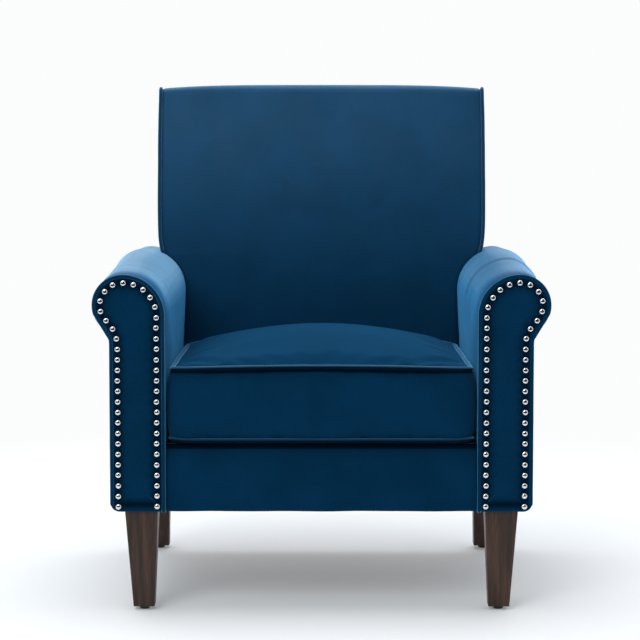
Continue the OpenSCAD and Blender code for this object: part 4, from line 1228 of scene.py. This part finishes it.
def build_deck_cloth():
    """The black cloth over the springs, under the cushion."""
    low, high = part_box("deck_cover")
    length_y = (high.y - low.y) / cos(chair.fall)
    start = (low.y - chair.cushion_y) / cos(chair.fall)

    def place(y, x):
        return on_deck(x, y, -0.5 * MM - 0.5 * MM * abs(uneven(85, x / (60 * MM), y / (60 * MM))))

    rows = rows_of(steps(start, start + length_y, 12 * MM), steps(low.x, high.x, 12 * MM), place)
    cloth = get_material(spun_cloth, "deck_cloth_woven", "#131315", "#232326", 1.2 * MM)
    deck = make_sheet("deck_cloth", rows, cloth, facing=(0, 0, 1))
    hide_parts("deck_cover", "deck_pad")


def build_dust_cloth():
    """The thin black cloth under the seat box, sagging a little."""
    low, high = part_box("dust_cover")

    def place(y, x):
        edge = min(high.x - abs(x), y - low.y, high.y - y)
        sag = 2.2 * MM * ease(edge / (120 * MM)) + 0.5 * MM * abs(uneven(87, x / (45 * MM), y / (60 * MM)))
        return x, y, high.z - 0.3 * MM - sag

    rows = rows_of(steps(low.y, high.y, 12 * MM), steps(low.x, high.x, 12 * MM), place)
    cloth = get_material(spun_cloth, "dust_cloth_spunbonded", "#17171a", "#2c2c31", 0.9 * MM)
    dust = make_sheet("dust_cloth", rows, cloth, facing=(0, 0, -1))
    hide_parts("dust_cover")


class ARMCHAIR_OT_seat_box(bpy.types.Operator):
    """Covers the seat box: apron, deck cloth and dust cover"""

    bl_idname = "armchair.seat_box"
    bl_label = "Seat box covers"

    def execute(self, context):
        build_apron()
        build_deck_cloth()
        build_dust_cloth()
        return {"FINISHED"}


# ---------- zip ----------

class ARMCHAIR_OT_zip(bpy.types.Operator):
    """Makes the zip's tape and coil in the cushion's rear boxing"""

    bl_idname = "armchair.zip"
    bl_label = "Cushion zip"

    def execute(self, context):
        low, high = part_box("zip_tape")
        lean = atan2(high.y - low.y, high.z - low.z)
        cloth = get_material(spun_cloth, "zip_tape_woven", "#0d1c2c", "#1b3146", 0.8 * MM)
        middle = (low + high) / 2
        out = Vector((0, cos(lean), -sin(lean)))
        up = Vector((0, sin(lean), cos(lean)))
        tape_half = 13 * MM
        rows = [[Vector((x, middle.y, middle.z)) + up * v - out * 0.35 * MM * (abs(v) > tape_half - 0.5 * MM)
                 for x in steps(low.x, high.x, 6 * MM)] for v in steps(-tape_half, tape_half, 2 * MM)]
        tape = make_sheet("zip_tape_cloth", rows, cloth, "cushion", facing=(0, 1, 0))
        coil_path = []
        pitch = 1.9 * MM
        # one turn of the coil: share of the pitch, then millimetres across the tape and over it
        turns = ((0, -2.2, 0.2), (0.3, -1.2, 0.75), (0.5, 1.2, 0.75), (0.8, 2.2, 0.2))
        for i in range(int((high.x - low.x - 8 * MM) / pitch)):
            x = low.x + 4 * MM + i * pitch
            for turn, v, w in turns:
                coil_path.append(Vector((x + turn * pitch, middle.y, middle.z)) + up * v * MM + out * w * MM)
        coil = make_cord("zip_coil", coil_path, 0.35 * MM, cloth, "cushion", seed=40)
        for piece in (tape, coil):
            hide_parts("zip_tape")
        return {"FINISHED"}


# ---------- frame, legs and fittings ----------

def dress_node(node, material, edge=0.0):
    """Gives a carried-over solid its material, and eases its edges."""
    solid = frame["nodes"][node]
    solid.data.materials.clear()
    solid.data.materials.append(material)
    if edge:
        eased = solid.modifiers.new("Eased edges", "BEVEL")
        eased.width = edge
        eased.segments = 3
        eased.limit_method = "ANGLE"
        eased.angle_limit = radians(40)
        eased.harden_normals = True


class ARMCHAIR_OT_legs(bpy.types.Operator):
    """Finishes the tapered legs and their glides"""

    bl_idname = "armchair.legs"
    bl_label = "Legs and glides"

    def execute(self, context):
        walnut = get_material(stained_walnut, "walnut_satin_lacquer")
        for end in ("front", "rear"):
            for side_name in SIDES:
                dress_node("leg_" + end + "_" + side_name, walnut, 0.6 * MM)
        dress_node("foot_glides", get_material(moulded_plastic, "polypropylene_moulded"))
        return {"FINISHED"}


class ARMCHAIR_OT_inner_frame(bpy.types.Operator):
    """Finishes the timber, springs, webbing and fittings inside the chair"""

    bl_idname = "armchair.inner_frame"
    bl_label = "Frame and fittings"

    def execute(self, context):
        pine = {axis: get_material(sawn_timber, "pine_sawn_" + axis.lower(), "#b98d58", "#d9b684", axis)
                for axis in "XYZ"}
        grain = {"seat_front_rail": "X", "seat_rear_rail": "X", "seat_side_rail_left": "Y",
                 "seat_side_rail_right": "Y", "seat_corner_blocks": "Z", "back_posts": "Z",
                 "back_rails": "X", "back_wing_frames": "Z", "arm_frame_left": "Y", "arm_frame_right": "Y",
                 "arm_top_rail_left": "Y", "arm_top_rail_right": "Y"}
        for node, axis in grain.items():
            dress_node(node, pine[axis], 1.0 * MM)
        ply = get_material(sawn_timber, "plywood_sanded", "#a97f4e", "#cda677", "Z")
        for side_name in SIDES:
            dress_node("arm_board_" + side_name, ply)
        steel = get_material(drawn_steel, "steel_zinc_plated")
        for node in ("leg_hanger_bolts", "leg_tee_nuts", "assembly_bolts", "sinuous_springs",
                     "spring_clips", "zip_slider", "zip_pull"):
            dress_node(node, steel)
        web = get_material(spun_cloth, "webbing_woven", "#151517", "#303036", 1.5 * MM)
        dress_node("back_webbing", web)
        return {"FINISHED"}


# ---------- studio ----------

STUDIO_WHITE = (0.973, 0.977, 0.982, 1)


def seen_directly(tree, rays=("Is Camera Ray", "Is Glossy Ray", "Is Transmission Ray")):
    """1 where a ray comes straight from the eye, or by way of a mirror or glass."""
    path = add_node(tree, "LightPath")
    total = path.outputs[rays[0]]
    for ray in rays[1:]:
        total = add_node(tree, "Math", {"operation": "MAXIMUM"}, {0: total, 1: path.outputs[ray]})
    return total


def studio_surround():
    """White to the eye; metal and glass see it too, with the darker room in front of the chair."""
    world = bpy.data.worlds.new("studio")
    world.use_nodes = True
    tree = world.node_tree
    tree.nodes.clear()
    way = add_node(tree, "SeparateXYZ", {}, {"Vector": add_node(tree, "TexCoord").outputs["Generated"]})
    behind = add_node(tree, "MapRange", {"From Min": -0.84, "From Max": -0.52, "To Min": 0.03, "To Max": 1.0},
                      {"Value": way.outputs["Y"]})
    room = add_node(tree, "Math", {"operation": "MAXIMUM"},
                    {0: behind, 1: add_node(tree, "LightPath").outputs["Is Camera Ray"]})
    white = add_node(tree, "Background", {"Color": STUDIO_WHITE}, {"Strength": room})
    ambient = add_node(tree, "Background", {"Color": (0.95, 0.975, 1.0, 1), "Strength": 0.63})
    mix = add_node(tree, "MixShader", {}, {0: seen_directly(tree), 1: ambient, 2: white})
    add_node(tree, "OutputWorld", {}, {"Surface": mix})
    return world


def floor_paper():
    """Seamless matt background paper, lit near the chair and running out to plain white."""
    material, tree, place = new_material("background_paper_matt")
    tone = opaque(settings().colours.floor)
    paper = surface(tree, {"Base Color": tone, "Roughness": 0.75, "Specular IOR Level": 0.08}, {},
                    (speckle(tree, place, 3 * MM), 0.1, 0.2 * MM))
    distance = add_node(tree, "VectorMath", {"operation": "LENGTH"}, {0: place}).outputs["Value"]
    lit_to, white_from = 0.75, 1.9
    far = add_node(tree, "MapRange", {
        "interpolation_type": "SMOOTHSTEP", "From Min": lit_to, "From Max": white_from,
    }, {"Value": distance})
    whitened = 0.14  # share of plain white glow even under the chair: painted light that lightens the chair's shadow
    paler = add_node(tree, "MapRange", {"To Min": whitened, "To Max": 1.0}, {"Value": far})
    fade = add_node(tree, "Math", {"operation": "MULTIPLY"}, {0: paler, 1: seen_directly(tree)})
    white = add_node(tree, "Emission", {"Color": STUDIO_WHITE, "Strength": 1.0})
    mix = add_node(tree, "MixShader", {}, {0: fade, 1: paper, 2: white})
    # metal sees the unlit part of the room in front of the chair
    ahead = add_node(tree, "SeparateXYZ", {}, {"Vector": place}).outputs["Y"]
    front = add_node(tree, "MapRange", {"From Min": -1.6, "From Max": -1.1, "To Min": 1.0, "To Max": 0.0},
                     {"Value": ahead})
    unlit = add_node(tree, "Math", {"operation": "MULTIPLY"},
                     {0: front, 1: seen_directly(tree, ("Is Glossy Ray",))})
    dim = add_node(tree, "Emission", {"Color": (0.03, 0.03, 0.03, 1), "Strength": 1.0})
    mix = add_node(tree, "MixShader", {}, {0: unlit, 1: mix, 2: dim})
    add_node(tree, "OutputMaterial", {}, {"Surface": mix})
    return material


def add_softbox(name, place, aim, size, watts):
    lamp = bpy.data.lights.new(name, "AREA")
    lamp.shape = "RECTANGLE"
    lamp.size, lamp.size_y = size
    lamp.energy = watts
    box = add_object(name, lamp)
    box.location = place
    box.rotation_euler = (Vector(aim) - Vector(place)).to_track_quat("-Z", "Y").to_euler()
    box.visible_camera = False


class ARMCHAIR_OT_studio(bpy.types.Operator):
    """Sets the floor, the soft lights, the white surround and the camera"""

    bl_idname = "armchair.studio"
    bl_label = "Studio"

    def execute(self, context):
        scene = context.scene
        scene.view_settings.view_transform = "Standard"
        scene.world = studio_surround()
        add_softbox("lit_backdrop", (-0.1, 2.6, 1.0), (-0.1, 0, 0.75), (4.6, 1.9), 22)
        add_softbox("overhead", (-0.1, 0.5, 3.0), (0, 0.0, 0.4), (2.8, 2.4), 60)
        add_softbox("front", (-1.4, -3.4, 2.6), (0, 0, 0.5), (2.0, 2.0), 60)

        reach = 9.0
        ends = (-reach, reach)
        mesh = bpy.data.meshes.new("studio_floor")
        mesh.from_pydata([(x, y, 0) for y in ends for x in ends], [], [(0, 1, 3, 2)])
        mesh.materials.append(floor_paper())
        floor = add_object("studio_floor", mesh)

        camera = bpy.data.cameras.new("camera")
        camera.sensor_width = 36
        camera.lens = 138.7
        camera.clip_start, camera.clip_end = 0.1, 60
        eye = add_object("camera", camera)
        distance, eye_height = 4.0, 0.846
        eye.location = (0, chair.face - distance, eye_height)
        line_of_sight = Vector((-0.0006, 1, -0.0906))
        eye.rotation_euler = line_of_sight.to_track_quat("-Z", "Y").to_euler()
        scene.camera = eye
        return {"FINISHED"}


# ---------- panel and registration ----------

BUILD_ORDER = (ARMCHAIR_OT_studio, ARMCHAIR_OT_arms, ARMCHAIR_OT_nails, ARMCHAIR_OT_back,
               ARMCHAIR_OT_seat_cushion, ARMCHAIR_OT_seat_box, ARMCHAIR_OT_zip, ARMCHAIR_OT_legs,
               ARMCHAIR_OT_inner_frame)


class ARMCHAIR_PT_panel(bpy.types.Panel):
    """Lists the chair's pieces, sizes and colours"""

    bl_label = "Armchair"
    bl_idname = "ARMCHAIR_PT_panel"
    bl_space_type = "VIEW_3D"
    bl_region_type = "UI"
    bl_category = "Armchair"

    def draw(self, context):
        for step in BUILD_ORDER:
            self.layout.operator(step.bl_idname)
        for group in (settings().arms, settings().cushion, settings().back, settings().colours):
            box = self.layout.box()
            for name in group.bl_rna.properties.keys():
                if name not in ("rna_type", "name"):
                    box.prop(group, name)


CLASSES = (ArmSizes, CushionSizes, BackSizes, ArmchairColours, ArmchairSettings,
           *BUILD_ORDER, ARMCHAIR_PT_panel)


def register():
    for cls in CLASSES:
        bpy.utils.register_class(cls)
    bpy.types.Scene.armchair = PointerProperty(type=ArmchairSettings)


def unregister():
    del bpy.types.Scene.armchair
    for cls in reversed(CLASSES):
        bpy.utils.unregister_class(cls)


def main():
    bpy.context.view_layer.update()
    register()
    for step in BUILD_ORDER:
        group, name = step.bl_idname.split(".")
        getattr(getattr(bpy.ops, group), name)()


if __name__ == "__main__":
    main()
